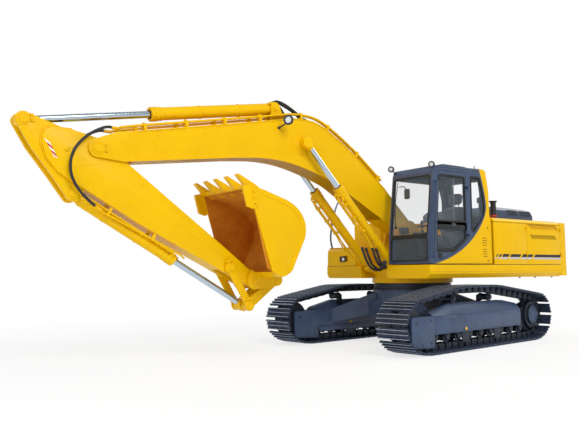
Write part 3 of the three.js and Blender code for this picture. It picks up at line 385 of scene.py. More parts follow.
yellowFinish = {"colour": "#F0BE00", "shade": "#EBB800", "dust": "#B98D2A", "dirt": 0.14,
                "patch": 700, "grime": 90,
                "rough": (0.28, 0.42), "peel": 9, "dent": 450, "dentDepth": 0.004,
                "coat": 0.04, "shine": 0.14}
slateFinish = {"colour": "#394B69", "shade": "#33435F", "dust": "#66758F", "dirt": 0.25,
               "patch": 500, "grime": 70,
               "rough": (0.3, 0.45), "peel": 8, "dent": 400, "dentDepth": 0.002, "coat": 0.15, "shine": 0.5}
chassisFinish = {"colour": "#3D5071", "shade": "#334360", "dust": "#58657C", "dirt": 0.5,
                 "patch": 350, "grime": 60,
                 "rough": (0.38, 0.6), "peel": 7, "dent": 300, "dentDepth": 0.003, "coat": 0.1, "shine": 0.5}
blackFinish = {**chassisFinish, "colour": "#1B1D21", "shade": "#15171A", "dust": "#3A3A3A", "dirt": 0.3}
yellowEnamel = paintedSteel("yellow enamel on steel", yellowFinish)
slateEnamel = paintedSteel("slate enamel on steel", slateFinish)
chassisEnamel = paintedSteel("dark blue enamel on cast steel", chassisFinish)
blackEnamel = paintedSteel("black enamel on steel", blackFinish)


def wornSteel(name, colour, polished, grain):
    # rolled track steel: dark scale, rubbed bright in streaks by the ground
    material, tree, shader, place = startMaterial(name)
    scuffs = addNoise(tree, place, grain, 10, 0.7)
    fill(tree, shader, {"Base Color": addRamp(tree, scuffs, (0.38, colour), (0.68, polished)),
                        "Roughness": addRange(tree, scuffs, 0.62, 0.3), "Metallic": 0.55,
                        "Normal": addBump(tree, scuffs, 0.35, 0.0015)})
    return material


shoeSteel = wornSteel("rolled shoe steel", "#313B50", "#46536B", 60)
linkSteel = wornSteel("forged link steel", "#1E232C", "#454E5E", 18)


def chromePlate():
    # hard chrome on ground rod: a mirror with very fine rings from polishing
    material, tree, shader, place = startMaterial("chrome-plated steel")
    gloss = addRange(tree, addNoise(tree, place, 14, 4), 0.1, 0.22)
    fill(tree, shader, {"Roughness": gloss, "Base Color": linear("#BCCBD7"), "Metallic": 1})
    return material


def moulded(name, colour, rough, grain, sheen=0.0):
    # moulded rubber or plastic: matt skin with a fine pebble
    material, tree, shader, place = startMaterial(name)
    shade = addNoise(tree, place, 150, 4)
    fill(tree, shader, {"Base Color": mixColours(tree, shade, linear(colour[0]), linear(colour[1])),
                        "Roughness": addRange(tree, shade, rough - 0.08, rough + 0.1),
                        "Normal": addBump(tree, addNoise(tree, place, grain, 3), 0.25, 0.0005),
                        "Sheen Weight": sheen})
    return material


chrome = chromePlate()
hoseRubber = moulded("black hose rubber", ("#17181A", "#232427"), 0.5, 4)
sealRubber = moulded("black seal rubber", ("#101113", "#191A1C"), 0.62, 5)
cabPlastic = moulded("dark grey ABS", ("#26292E", "#2E3238"), 0.55, 3)
greyPlastic = moulded("mid grey ABS", ("#5C636D", "#666D77"), 0.5, 3)
seatCloth = moulded("woven seat cloth", ("#2B303A", "#3A414E"), 0.85, 3, 0.4)
markRed = moulded("red reflective film", ("#C5281E", "#D03325"), 0.32, 6)
markWhite = moulded("white reflective film", ("#E9E6DD", "#F2EFE6"), 0.32, 6)
stripeBlack = moulded("black vinyl film", ("#15141A", "#1C1B22"), 0.3, 8)
stripeSilver = moulded("silver vinyl film", ("#B4BCD6", "#C2C9DE"), 0.3, 8)
markOrange = moulded("yellow tie-down paint", ("#F0AE00", "#F6B90A"), 0.4, 6)


def toughenedGlass(name, tint, alpha):
    # toughened safety glass: thin, faintly blue-green, sharp reflections, see-through
    material, tree, shader, place = startMaterial(name)
    gloss = addRange(tree, addNoise(tree, place, 180, 5), 0.02, 0.07, 0.4, 0.8)
    fill(tree, shader, {"Roughness": gloss, "Base Color": linear(tint), "IOR": 1.5, "Alpha": alpha})
    return material


cabGlass = toughenedGlass("toughened glass", "#A9BBC6", 0.08)
lampGlass = moulded("clear lamp lens", ("#C3CBD2", "#E6EAED"), 0.12, 10)
usualSlots = {yellowEnamel: "yellow_paint", slateEnamel: "slate_paint", chassisEnamel: "undercarriage_paint",
              blackEnamel: "black_iron", shoeSteel: "undercarriage_paint", linkSteel: "undercarriage_paint",
              chrome: "chrome_rod", hoseRubber: "hose_rubber", sealRubber: "console_plastic",
              cabPlastic: "console_plastic", greyPlastic: "console_plastic", seatCloth: "seat_fabric",
              markRed: "marking_film", markWhite: "marking_film", stripeBlack: "marking_film",
              stripeSilver: "marking_film", markOrange: "marking_film", lampGlass: "lamp_lens"}
print("materials ready")

eye = at(9.393, 8.702, 1.285)
heading, lift, lean, lens = -2.2144, 0.0912, -0.0079, 41.47
forward = Vector((math.cos(heading) * math.cos(lift), math.sin(heading) * math.cos(lift), math.sin(lift)))
right = Vector((math.sin(heading), -math.cos(heading), 0))
upward = right.cross(forward)
across = right * math.cos(lean) + upward * math.sin(lean)
camera = bpy.data.objects.new("camera", bpy.data.cameras.new("camera"))
aimed = Matrix((across, across.cross(forward), -forward)).transposed().to_4x4()
camera.matrix_world = Matrix.Translation(eye) @ aimed
camera.data.sensor_width = 36
camera.data.lens = lens
camera.data.clip_end = 400
bpy.context.scene.collection.objects.link(camera)
bpy.context.scene.camera = camera
bpy.context.scene.view_settings.view_transform = "Standard"


def addLamp(name, place, aim, size, power, colour="#FFFFFF"):
    lamp = bpy.data.objects.new(name, bpy.data.lights.new(name, "AREA"))
    lamp.data.size = size
    lamp.data.energy = power
    lamp.data.color = linear(colour)[:3]
    lamp.location = at(*place)
    lamp.rotation_mode = "QUATERNION"
    lamp.rotation_quaternion = (at(*aim) - lamp.location).to_track_quat("-Z", "Y")
    bpy.context.scene.collection.objects.link(lamp)


addLamp("key", (5, 14, 13), (1, 0, 1.5), 8, 1560)
addLamp("front", (16, 3, 6), (2, 0, 1.5), 7, 380)
addLamp("rear", (-11, 3, 9), (-1, 0, 1.5), 7, 550)
addLamp("far", (2, -14, 9), (2, 0, 1.5), 8, 450)


def whiteToCamera(tree, shaded, share):
    # white where seen directly, in mirrors and through glass, with some of the shaded surface kept
    rays = addNode(tree, "ShaderNodeLightPath")
    seen = addNode(tree, "ShaderNodeMath",
                   {0: rays.outputs["Is Camera Ray"], 1: rays.outputs["Is Glossy Ray"]}, operation="MAXIMUM")
    through = addNode(tree, "ShaderNodeMath", {0: seen.outputs[0], 1: rays.outputs["Is Transmission Ray"]},
                      operation="MAXIMUM")
    amount = addNode(tree, "ShaderNodeMath", {0: through.outputs[0], 1: share}, operation="MULTIPLY")
    white = addNode(tree, "ShaderNodeEmission", {"Color": (1, 1, 1, 1), "Strength": 1.0})
    return addNode(tree, "ShaderNodeMixShader", {0: amount.outputs[0], 1: shaded, 2: white.outputs[0]})


world = bpy.data.worlds.new("studio")
bpy.context.scene.world = world
world.use_nodes = True
sky = world.node_tree
rays = addNode(sky, "ShaderNodeLightPath")
seen = addNode(sky, "ShaderNodeMath",
               {0: rays.outputs["Is Camera Ray"], 1: rays.outputs["Is Transmission Ray"]},
               operation="MAXIMUM")
strength = addRange(sky, seen.outputs[0], 0.48, 1.0)
fill(sky, sky.nodes["Background"], {"Color": (1, 1, 1, 1), "Strength": strength})


def addFloor():
    bm = newMesh()
    reach = 160
    bm.faces.new([bm.verts.new(p)
                  for p in ((-reach, -reach, 0), (reach, -reach, 0), (reach, reach, 0), (-reach, reach, 0))])
    mesh = bpy.data.meshes.new("floor")
    bm.to_mesh(mesh)
    bm.free()
    floor = bpy.data.objects.new("floor", mesh)
    floor.location.z = -0.001
    bpy.context.scene.collection.objects.link(floor)
    material, tree, shader, place = startMaterial("pale studio floor")
    speckle = addNode(tree, "ShaderNodeTexNoise", {"Scale": 40}).outputs["Fac"]
    pale = mixColours(tree, speckle, linear("#F4F4F4"), linear("#FAFAFA"))
    fill(tree, shader, {"Base Color": pale, "Roughness": 0.9, "Specular IOR Level": 0.1})
    far = addNode(tree, "ShaderNodeVectorMath", {0: place}, operation="LENGTH")
    share = addRange(tree, far.outputs["Value"], 0.72, 1.0, 4.5, 11)
    mixed = whiteToCamera(tree, shader.outputs[0], share)
    tree.links.new(mixed.outputs[0], tree.nodes["Material Output"].inputs["Surface"])
    mesh.materials.append(material)
    floor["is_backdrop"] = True


addFloor()
print("camera and studio ready")

track = {"gauge": 2.57, "shoeWidth": 0.6, "axleSpan": 3.747, "axleHeight": 0.455,
         "pitch": 0.19, "wheel": 0.27,
         "railDrop": 0.048, "seatRise": 0.052, "plate": 0.012, "grouser": 0.026,
         "guideReach": 1.74, "guide": 0.09,
         "carrier": 0.067, "carriers": (0.75, -0.37), "topRun": 0.958, "turn": 6,
         "ribs": (0.87, 0.5, 0.13)}
chassis = turnAt(swingAxis, math.radians(track["turn"]), "Z")


def beltPins():
    # chain pins at equal steps along the tight line round the wheels
    t = track
    pinLine = t["wheel"] + t["railDrop"]
    low = t["seatRise"] + t["plate"] + t["grouser"]
    wheels = [(s * t["axleSpan"] / 2, t["axleHeight"], pinLine) for s in (1, -1)]
    wheels += [(s * t["guideReach"], low + t["guide"], t["guide"]) for s in (1, -1)]
    wheels += [(x, t["topRun"] - t["carrier"], t["carrier"]) for x in t["carriers"]]
    cloud = sorted({(x + r * math.cos(math.pi * i / 60), z + r * math.sin(math.pi * i / 60)) for x, z,
                    r in wheels for i in range(120)})

    def chain(points):
        line = []
        for p in points:
            while len(line) > 1:
                (ax, az), (bx, bz) = line[-2:]
                if (bx - ax) * (p[1] - az) - (bz - az) * (p[0] - ax) > 1e-9:
                    break
                line.pop()
            line.append(p)
        return line[:-1]

    line = [Vector(p) for p in chain(cloud) + chain(cloud[::-1])]
    lengths = [(b - a).length for a, b in zip(line, line[1:] + line[:1])]
    total = sum(lengths)
    count = round(total / t["pitch"])
    pins = []
    for k in range(count):
        left, i = total * k / count, 0
        while left > lengths[i]:
            left -= lengths[i]
            i += 1
        pins.append(line[i] + (line[(i + 1) % len(line)] - line[i]).normalized() * left)
    return pins


pinsOfBelt = beltPins()


def linkPlaces(middle):
    places = []
    for a, b in zip(pinsOfBelt, pinsOfBelt[1:] + pinsOfBelt[:1]):
        along = (b - a).normalized()
        out = Vector((along.y, -along.x))
        turn = Matrix(((along.x, 0, out.x), (0, 1, 0), (along.y, 0, out.y))).to_4x4()
        places.append(chassis @ Matrix.Translation((a.x, middle, a.y)) @ turn)
    return places


def trackShoe():
    t = track
    p = t["pitch"]
    low, top = t["seatRise"], t["seatRise"] + t["plate"]
    tip = top + t["grouser"] - 0.001
    outline = [(0.006, low), (p - 0.006, low), (p - 0.004, top)]
    for share in t["ribs"]:
        c = share * p
        outline += [(c + 0.011, top), (c + 0.006, tip), (c - 0.006, tip), (c - 0.011, top)]
    outline += [(0.004, top)]
    bm = newMesh()
    half = t["shoeWidth"] / 2
    addPlate(bm, outline, "y", -half, half, 0.0018, 1)
    for u in (0.315 * p, 0.685 * p):
        for w in (-0.118, -0.062, 0.062, 0.118):
            addBolt(bm, (u, w, top), zAxis, 0.022)
    return bm


def chainLink():
    t = track
    p, drop, seat = t["pitch"], t["railDrop"], t["seatRise"]
    bm = newMesh()
    front = [(-0.036, -0.012), (-0.024, -0.038), (0.01, -drop + 0.002), (0.112, -drop + 0.002), (0.112, seat),
             (0.02, seat), (-0.02, 0.034), (-0.036, 0.016)]
    back = [(p - u, v) for u, v in reversed(front)]
    for side in (-1, 1):
        addPlate(bm, front, "y", *facing(side, 0.071, 0.093), 0.004, 1)
        addPlate(bm, back, "y", *facing(side, 0.047, 0.0705), 0.004, 1)
    addDisc(bm, (0, -0.1, 0), yAxis, 0.022, 0.2, 14, 0.003)
    addDisc(bm, (0, -0.046, 0), yAxis, 0.031, 0.092, 14, 0.002)
    return bm


for side, sign in (("left", 1), ("right", -1)):
    middle = sign * track["gauge"] / 2
    places = linkPlaces(middle)
    makePiece(spread(trackShoe(), places), f"track_shoes_{side}", "undercarriage", shoeSteel,
              [f"track_{side}"])
    makePiece(spread(chainLink(), places), f"track_chain_{side}", "undercarriage", linkSteel)
print("tracks ready")

pins = {"boomFoot": (0.27, 2.05), "boomTip": (6.18, 2.955), "boomCylinderFoot": (0.8, 1.36),
        "boomCylinderRod": (2.74, 3.38), "armCylinderHead": (3.2, 3.94), "armCylinderRod": (7.12, 3.24),
        "bucketCylinderHead": (6.46, 2.33), "rocker": (4.12, 1.36), "link": (3.78, 0.79),
        "bucket": (3.69, 1.155), "bucketLink": (3.27, 1.17)}  # forward and up from the slewing axis


def arc(centre, radius, start, end, steps=10):
    # points of an arc, its angles in half turns
    turns = [math.pi * (start + (end - start) * i / steps) for i in range(steps + 1)]
    return [(centre[0] + radius * math.cos(a), centre[1] + radius * math.sin(a)) for a in turns]


def bezier(a, b, c, d, steps=12):
    shares = [i / steps for i in range(steps + 1)]
    return [tuple(a[k] * (1 - t) ** 3 + 3 * b[k] * t * (1 - t) ** 2 + 3 * c[k] * t * t * (1 - t)
                  + d[k] * t ** 3 for k in (0, 1)) for t in shares]


def flat(points, steps=6):
    # a smooth line through those points, in the side view
    return [(p.x, p.y) for p in smoothPath([(x, z, 0) for x, z in points], steps)]


def seamLine(points, y, radius=0.05):
    return [(p.x, y, p.y) for p in roundedPath([(x, z, 0) for x, z in points], radius)]


def offsetLine(points, distance):
    # the same line, moved sideways to its left
    result = []
    for i, (x, z) in enumerate(points):
        (ax, az), (bx, bz) = points[max(i - 1, 0)], points[min(i + 1, len(points) - 1)]
        length = math.hypot(bx - ax, bz - az)
        result.append((x - (bz - az) / length * distance, z + (bx - ax) / length * distance))
    return result


def addStrip(bm, points, thickness, low, high, bevel=0.002):
    addPlate(bm, points + offsetLine(points, thickness)[::-1], "y", low, high, bevel, 1)


def finished(bm, *words, **more):
    # a piece drawn from the slewing axis
    bmesh.ops.translate(bm, vec=swingAxis, verts=bm.verts)
    return makePiece(bm, *words, **more)


def addPinEnd(bm, centre, y, side, radius, keeper):
    # a pin's head in its boss, held by a keeper plate with two bolts
    x, z = centre
    out = (0, side, 0)
    addDisc(bm, (x, y, z), out, radius * 1.55, 0.01, 36, 0.004)
    addDisc(bm, (x, y + side * 0.01, z), out, radius, 0.012, 32, 0.003)
    kx, kz = x + keeper[0], z + keeper[1]
    turn = turnAt((kx, y, kz), -math.atan2(keeper[1], keeper[0]), "Y")
    addPlate(bm, oblong(-0.022, -0.055, 0.022, 0.055), "y", *facing(side, 0, 0.012), 0.003, 1, turn)
    for step in (-0.034, 0.034):
        addBolt(bm, turn @ Vector((0, side * 0.012, step)), out, 0.026)


cylinderSizes = {
    "boom": {"radius": 0.08, "rod": 0.048, "length": 1.86, "eye": 0.092, "inside": 1.15,
             "pipe": (-0.045, -0.104), "bolts": 10},
    "arm": {"radius": 0.095, "rod": 0.052, "length": 2.19, "eye": 0.092, "inside": 1.98,
            "pipe": (-0.11, 0.06), "bolts": 12},
    "bucket": {"radius": 0.082, "rod": 0.046, "length": 1.72, "eye": 0.085, "inside": 1.33,
               "pipe": (0.1, -0.045), "bolts": 10},
}


def alongFrame(start, end, y):
    a, b = at(start[0], y, start[1]), at(end[0], y, end[1])
    along = (b - a).normalized()
    across = Vector(yAxis)
    turn = Matrix((along, across, along.cross(across))).transposed().to_4x4()
    return Matrix.Translation(a) @ turn, (b - a).length


def addBarrel(bm, size):
    radius, length, bore = size["radius"], size["length"], size["rod"] + 0.0006
    collar = radius * 1.12
    addDisc(bm, (0, -0.055, 0), yAxis, radius, 0.11, 40, 0.01)
    profile = [(0.05, 0), (0.05, radius * 0.6), (0.1, radius * 0.78), (0.14, radius * 0.98), (0.155, radius),
               (length - 0.18, radius), (length - 0.174, radius + 0.006), (length - 0.15, radius + 0.006),
               (length - 0.144, radius), (length - 0.12, radius), (length - 0.116, collar - 0.004),
               (length - 0.112, collar), (length - 0.056, collar), (length - 0.053, collar - 0.005),
               (length - 0.047, collar - 0.005), (length - 0.044, collar), (length - 0.006, collar),
               (length, collar - 0.006), (length, bore), (0.16, bore), (0.16, 0)]
    addTurned(bm, profile, (0, 0, 0), xAxis, 44)
    middle = (collar + bore) / 2 + 0.004
    for i in range(size["bolts"]):
        turn = 2 * math.pi * i / size["bolts"]
        addBolt(bm, (length, middle * math.cos(turn), middle * math.sin(turn)), xAxis, 0.02)
    addDisc(bm, (0, 0, -radius - 0.012), zAxis, 0.01, 0.02, 12)


def addPortPipe(bm, size):
    # a steel pipe along the barrel from the port at its foot to the port at the gland
    py, pz = size["pipe"]
    far = math.hypot(py, pz)
    out = Vector((0, py / far, pz / far))
    radius, length = size["radius"], size["length"]
    for along in (0.235, length - 0.085):
        addDisc(bm, Vector((along, 0, 0)) + out * radius * 0.9, out, 0.034, 0.034 + radius * 0.1, 20, 0.006)
    line = [(0.235, 0.03), (0.235, 0.052), (0.3, 0.052), (length - 0.15, 0.052), (length - 0.085, 0.052),
            (length - 0.085, 0.024)]
    path = roundedPath([Vector((a, 0, 0)) + out * (radius + b) for a, b in line], 0.04)
    addTube(bm, path, 0.0135, 12)
    for share in (0.3, 0.62):
        where = length * share
        addHollow(bm, (where, 0, 0), xAxis, radius + 0.006, radius - 0.002, 0.032, 40)
        addDisc(bm, Vector((where + 0.016, 0, 0)) + out * radius, out, 0.017, 0.052, 14)
        addHollow(bm, Vector((where, 0, 0)) + out * (radius + 0.052), xAxis, 0.02, 0.013, 0.032, 16)


def makeCylinder(kind, barrelName, rodName, start, end, y):
    size = cylinderSizes[kind]
    place, reach = alongFrame(start, end, y)
    bm = newMesh()
    addBarrel(bm, size)
    addPortPipe(bm, size)
    placed(bm, place, barrelName + "_barrel", barrelName, yellowEnamel, [barrelName])
    bm = newMesh()
    addHollow(bm, (size["length"] - 0.002, 0, 0), xAxis, size["rod"] + 0.013, size["rod"] + 0.001, 0.01, 32)
    placed(bm, place, barrelName + "_wiper", barrelName, sealRubber, slotName="hose_rubber")
    bm = newMesh()
    addDisc(bm, (size["inside"], 0, 0), xAxis, size["rod"], reach - 0.09 - size["inside"], 44, 0.004)
    placed(bm, place, rodName + "_shaft", rodName, chrome, [rodName])
    bm = newMesh()
    eye, rod = size["eye"], size["rod"]
    profile = [(reach - 0.122, 0), (reach - 0.122, rod * 1.12), (reach - 0.117, rod * 1.2),
               (reach - 0.092, rod * 1.2), (reach - 0.05, 0.054), (reach - 0.05, 0)]
    addTurned(bm, profile, (0, 0, 0), xAxis, 36)
    addDisc(bm, (reach, -0.055, 0), yAxis, eye, 0.11, 40, 0.01)
    addDisc(bm, (reach + eye * 0.7, 0, eye * 0.7), (1, 0, 1), 0.009, 0.016, 12)
    placed(bm, place, rodName + "_eye", rodName, yellowEnamel)


for side, y in (("left", 0.315), ("right", -0.315)):
    makeCylinder("boom", f"boom_cylinder_{side}", f"boom_rod_{side}", pins["boomCylinderFoot"],
                 pins["boomCylinderRod"], y)
makeCylinder("arm", "arm_cylinder", "arm_rod", pins["armCylinderHead"], pins["armCylinderRod"], 0)
makeCylinder("bucket", "bucket_cylinder", "bucket_rod", pins["bucketCylinderHead"], pins["link"], 0)
print("cylinders ready")

boomTop = flat([(1.55, 3.29), (2.01, 3.578), (2.44, 3.772), (2.86, 3.79), (3.13, 3.745), (3.4, 3.69)])
boomBelly = flat([(1.75, 2.625), (2.13, 2.815), (2.87, 3.02), (3.44, 3.072), (4.02, 3.03)])
boomHalf, forkHalf, forkRoot = 0.205, 0.171, 5.64
lipInset = 0.01  # side plates stand in from the edges of the top and bottom plates


def boomOutline(front):
    foot = arc(pins["boomFoot"], 0.135, 0.72, 1.62)
    return foot + [(0.95, 2.215)] + boomBelly + front + boomTop[::-1] + [(0.84, 2.752)]


def makeBoom():
    bm = newMesh()
    side = boomHalf - lipInset
    addPlate(bm, boomOutline([(forkRoot, 2.8207), (forkRoot, 3.2485)]), "y", -side, side, 0.003, 1)
    tip = [(5.6, 2.826), (5.8, 2.8)] + arc(pins["boomTip"], 0.126, -0.45, 0.42, 14)
    tip += [(5.91, 3.205), (5.6, 3.256)]
    for sign in (-1, 1):
        addPlate(bm, tip, "y", *facing(sign, forkHalf, boomHalf - 0.004), 0.006)
        addPinEnd(bm, pins["boomTip"], sign * (boomHalf - 0.004), sign, 0.062, (-0.118, 0.0))
        addHollow(bm, (0.27, sign * 0.15, 2.05), (0, sign, 0), 0.122, 0.06, 0.052, 40)
        boss = [(0.0, 0), (0.0, 0.185), (0.004, 0.19), (0.009, 0.186), (0.012, 0.16), (0.02, 0.155),
                (0.05, 0.122), (0.058, 0.12), (0.058, 0)]
        addTurned(bm, boss,
                  (pins["boomCylinderRod"][0], sign * (side - 0.002), pins["boomCylinderRod"][1]),
                  (0, sign, 0), 48)
        seam = [(3.45, 3.64), (5.205, 3.29), (5.43, 3.12), (5.12, 2.93)]
        addBead(bm, seamLine(seam, sign * side), 0.0035)
        addBead(bm, [(5.7, sign * (side + 0.001), 2.825), (5.745, sign * (side + 0.001), 3.225)], 0.01)
        addPlate(bm, [(5.815, 3.062), (5.86, 3.058), (5.86, 3.094), (5.815, 3.098)], "y",
                 *facing(sign, side, side + 0.014), 0.003)
    addStrip(bm, [(0.84, 2.752)] + boomTop + [(5.63, 3.25), (5.64, 3.248)], -0.018, -boomHalf, boomHalf)
    addStrip(bm, [(0.95, 2.215)] + boomBelly + [(5.64, 2.8207)], 0.018, -boomHalf, boomHalf)
    ear = earOutline(pins["armCylinderHead"], 0.09, (3.13, 3.6), 0.15)
    for sign in (-1, 1):
        addPlate(bm, ear, "y", *facing(sign, 0.061, 0.101), 0.005)
        addPinEnd(bm, pins["armCylinderHead"], sign * 0.101, sign, 0.045, (-0.02, -0.105))
        addPlate(bm, [(2.99, 3.73), (3.33, 3.7), (3.3, 3.745), (3.02, 3.765)], "y",
                 *facing(sign, 0.055, 0.11), 0.006)
    addDisc(bm, (pins["armCylinderHead"][0], -0.1, pins["armCylinderHead"][1]), yAxis, 0.0445, 0.2, 32)
    addDisc(bm, (pins["boomTip"][0], -0.2, pins["boomTip"][1]), yAxis, 0.0545, 0.4, 32)
    finished(bm, "boom_box_section", "boom", yellowEnamel, ["boom"])


def earOutline(top, topRadius, bottom, bottomRadius, steps=12):
    # two round ends joined by their outer tangents
    dx, dz = top[0] - bottom[0], top[1] - bottom[1]
    length = math.hypot(dx, dz)
    turn = math.atan2(dz, dx) / math.pi
    spread = math.acos((bottomRadius - topRadius) / length) / math.pi
    over = arc(top, topRadius, turn - spread, turn + spread, steps)
    return over + arc(bottom, bottomRadius, turn + spread, turn + 2 - spread, steps)


def topLine(rise):
    # a line that stands above the boom's top plate
    return offsetLine([(0.98, 2.858)] + boomTop[::2] + [(5.6, 3.256)], rise)


def makeBoomPipes():
    bm = newMesh()
    for sign in (-1, 1):
        for inset in (0.128, 0.176):
            path = smoothPath([(x, sign * inset, z) for x, z in topLine(0.075)], 2)
            addTube(bm, path + [Vector((5.86, sign * inset, 3.275))], 0.0165, 12)
        for x, z, dx, dz in clampPlaces():
            turn = turnAt((x, sign * 0.152, z), -math.atan2(dz, dx), "Y")
            addBox(bm, (-0.02, -0.052, 0.0), (0.02, 0.052, 0.1), 0.004, turn)
            addBolt(bm, turn @ Vector((0, 0, 0.1)), turn.to_3x3() @ Vector(zAxis), 0.028)
    finished(bm, "boom_top_pipes", "boom", yellowEnamel)


def clampPlaces():
    line = topLine(0)
    places = []
    for x in (1.05, 1.55, 2.2, 2.75, 3.55, 4.2, 4.85, 5.5):
        i = next(k for k in range(len(line) - 1) if line[k + 1][0] >= x)
        (ax, az), (bx, bz) = line[i], line[i + 1]
        share = (x - ax) / (bx - ax)
        places.append((x, az + (bz - az) * share, bx - ax, bz - az))
    return places


def makeArmCylinderHoses():
    bm = newMesh()
    for sign in (-1, 1):
        for step, y in ((0.0, sign * 0.03), (0.05, sign * 0.08)):
            line = [(3.245, y, 4.028), (3.16, y, 4.056), (3.04, y * 1.4, 4.02),
                    (2.88, sign * (0.11 + step), 3.92), (2.735, sign * (0.125 + step), 3.822),
                    (2.64, sign * (0.128 + step * 0.96), 3.796)]
            addTube(bm, smoothPath(line, 8), 0.0185, 14)
    finished(bm, "arm_cylinder_hoses", "boom", hoseRubber)
    bm = newMesh()
    for sign in (-1, 1):
        for step, y in ((0.0, sign * 0.03), (0.05, sign * 0.08)):
            addDisc(bm, (3.245, y, 4.012), (-0.92, 0, 0.35), 0.024, 0.045, 6)
            addDisc(bm, (2.662, sign * (0.128 + step * 0.96), 3.8), (-0.95, 0, -0.3), 0.025, 0.06, 6)
        addBox(bm, (3.195, sign * 0.055 - 0.045, 3.985), (3.3, sign * 0.055 + 0.045, 4.03), 0.006)
    finished(bm, "arm_cylinder_hose_ends", "boom", yellowEnamel)


makeBoom()
makeBoomPipes()
makeArmCylinderHoses()
print("boom ready")


def makeLamp(name, body, centre, aim, radius, foot):
    # a round lamp: black bowl with a rim, a clear lens and a steel stalk to its foot
    centre, aim, foot = Vector(centre), Vector(aim).normalized(), Vector(foot)
    bm = newMesh()
    bowl = [(-radius * 0.95, 0), (-radius * 0.95, radius * 0.35), (-radius * 0.8, radius * 0.62),
            (-radius * 0.3, radius * 0.96), (0.0, radius), (0.012, radius), (0.016, radius * 0.97),
            (0.016, radius * 0.64), (0.004, radius * 0.62), (0.004, 0)]
    addTurned(bm, bowl, centre, aim, 36)
    addTube(bm,
            smoothPath([centre - aim * radius * 0.5, centre - aim * radius * 0.6 + (foot - centre) * 0.45,
                        foot], 5), 0.011, 10)
    addDisc(bm, foot - (foot - centre).normalized() * 0.012, (foot - centre), 0.026, 0.016, 16)
    finished(bm, name + "_bowl", body, blackEnamel)
    bm = newMesh()
    addTurned(bm,
              [(0.002, 0), (0.002, radius * 0.63), (0.008, radius * 0.63), (0.014, radius * 0.4), (0.016, 0)],
              centre, aim, 32)
    finished(bm, name + "_lens", body, lampGlass)


makeLamp("boom_lamp", "boom", (3.171, 0.4, 3.69), (0.8, 0.55, -0.05), 0.082, (3.215, 0.2, 3.59))

armBack = [(4.29, 1.73), (4.95, 2.21), (5.76, 2.8), (6.18, 3.095), (6.51, 3.165)]
armBelly = [(4.29, 1.335), (5.56, 1.965), (6.4, 2.43), (6.69, 2.6), (6.83, 2.76), (6.9, 2.96)]
armHead = [(6.898, 3.05), (6.865, 3.12), (6.8, 3.158), (6.7, 3.168)]
armHalf, earInner, earOuter = 0.165, 0.07, 0.122


def makeArm():
    bm = newMesh()
    body = arc(pins["bucket"], 0.105, 0.62, 1.6, 14) + armBelly + armHead + armBack[::-1]
    ear = arc(pins["armCylinderRod"], 0.1, -0.1, 0.6, 14) + [(6.64, 3.19), (6.3, 2.7), (6.33, 2.34)]
    ear += arc(pins["bucketCylinderHead"], 0.105, 1.0, 1.75, 12) + [(6.76, 2.56), (7.03, 2.9)]
    for sign in (-1, 1):
        addPlate(bm, body, "y", *facing(sign, 0.148, armHalf), 0.006)
        addPlate(bm, ear, "y", *facing(sign, earInner, earOuter), 0.007)
        addPinEnd(bm, pins["armCylinderRod"], sign * earOuter, sign, 0.052, (-0.105, 0.02))
        addPinEnd(bm, pins["bucketCylinderHead"], sign * earOuter, sign, 0.052, (-0.045, 0.105))
        addHollow(bm, (pins["bucket"][0], sign * 0.12, pins["bucket"][1]), (0, sign, 0),
                  0.1, 0.046, 0.047, 36)
        addTurned(bm, [(0, 0), (0, 0.03), (0.006, 0.036), (0.014, 0.034), (0.018, 0.026), (0.018, 0)],
                  (6.585, sign * armHalf, 2.905), (0, sign, 0), 20)
        addBead(bm, seamLine([(6.72, 2.64), (6.3, 2.722), (6.1, 2.752)], sign * armHalf), 0.0035)
        for x, z in ((5.548, 2.504), (4.635, 1.64), (5.7, 2.2), (6.046, 2.37)):
            addDisc(bm, (x, sign * armHalf, z), (0, sign, 0), 0.015, 0.008, 14, 0.003)
    addWeb(bm, armBelly[:5], 0.016)
    addWeb(bm, armBack, -0.016)
    tail = armBack[-1:] + armHead[::-1] + armBelly[:-3:-1]
    for sign in (-1, 1):
        addStrip(bm, tail, 0.016, *facing(sign, earOuter * 0.99, 0.15))
    for centre in (pins["armCylinderRod"], pins["bucketCylinderHead"]):
        addDisc(bm, (centre[0], -0.12, centre[1]), yAxis, 0.0445, 0.24, 32)
    nose = arc(pins["bucket"], 0.104, 0.62, 1.6, 14) + [(4.29, 1.345), (4.29, 1.72)]
    for sign in (-1, 1):
        addPlate(bm, nose, "y", *facing(sign, 0.09, 0.146), 0.004)
    finished(bm, "arm_box_section", "arm", yellowEnamel, ["arm"])


def addWeb(bm, line, thickness):
    # top or bottom plate between the arm's side plates
    addStrip(bm, line, thickness, -0.15, 0.15)


def makeArmPatch():
    # five slanted bands of reflective film on each side of the arm's tail
    left, right = ((6.925, 3.012), (6.8, 2.785)), ((6.87, 2.996), (6.75, 2.77))
    mixed = lambda line, share: tuple(line[0][k] + (line[1][k] - line[0][k]) * share for k in (0, 1))
    for name, material, bands in (("white", markWhite, (0, 2, 4)), ("red", markRed, (1, 3))):
        bm = newMesh()
        for band in bands:
            corners = [mixed(left, band / 5), mixed(left, (band + 1) / 5)]
            corners += [mixed(right, min((band + 1) / 5 + 0.16, 1.0)),
                        mixed(right, min(band / 5 + 0.16, 0.98))]
            corners = [(x - 0.055, z) for x, z in corners]
            for sign in (-1, 1):
                addPlate(bm, corners, "y", *facing(sign, armHalf + 0.0004, armHalf + 0.0014))
        finished(bm, f"arm_patch_{name}", "arm", material)


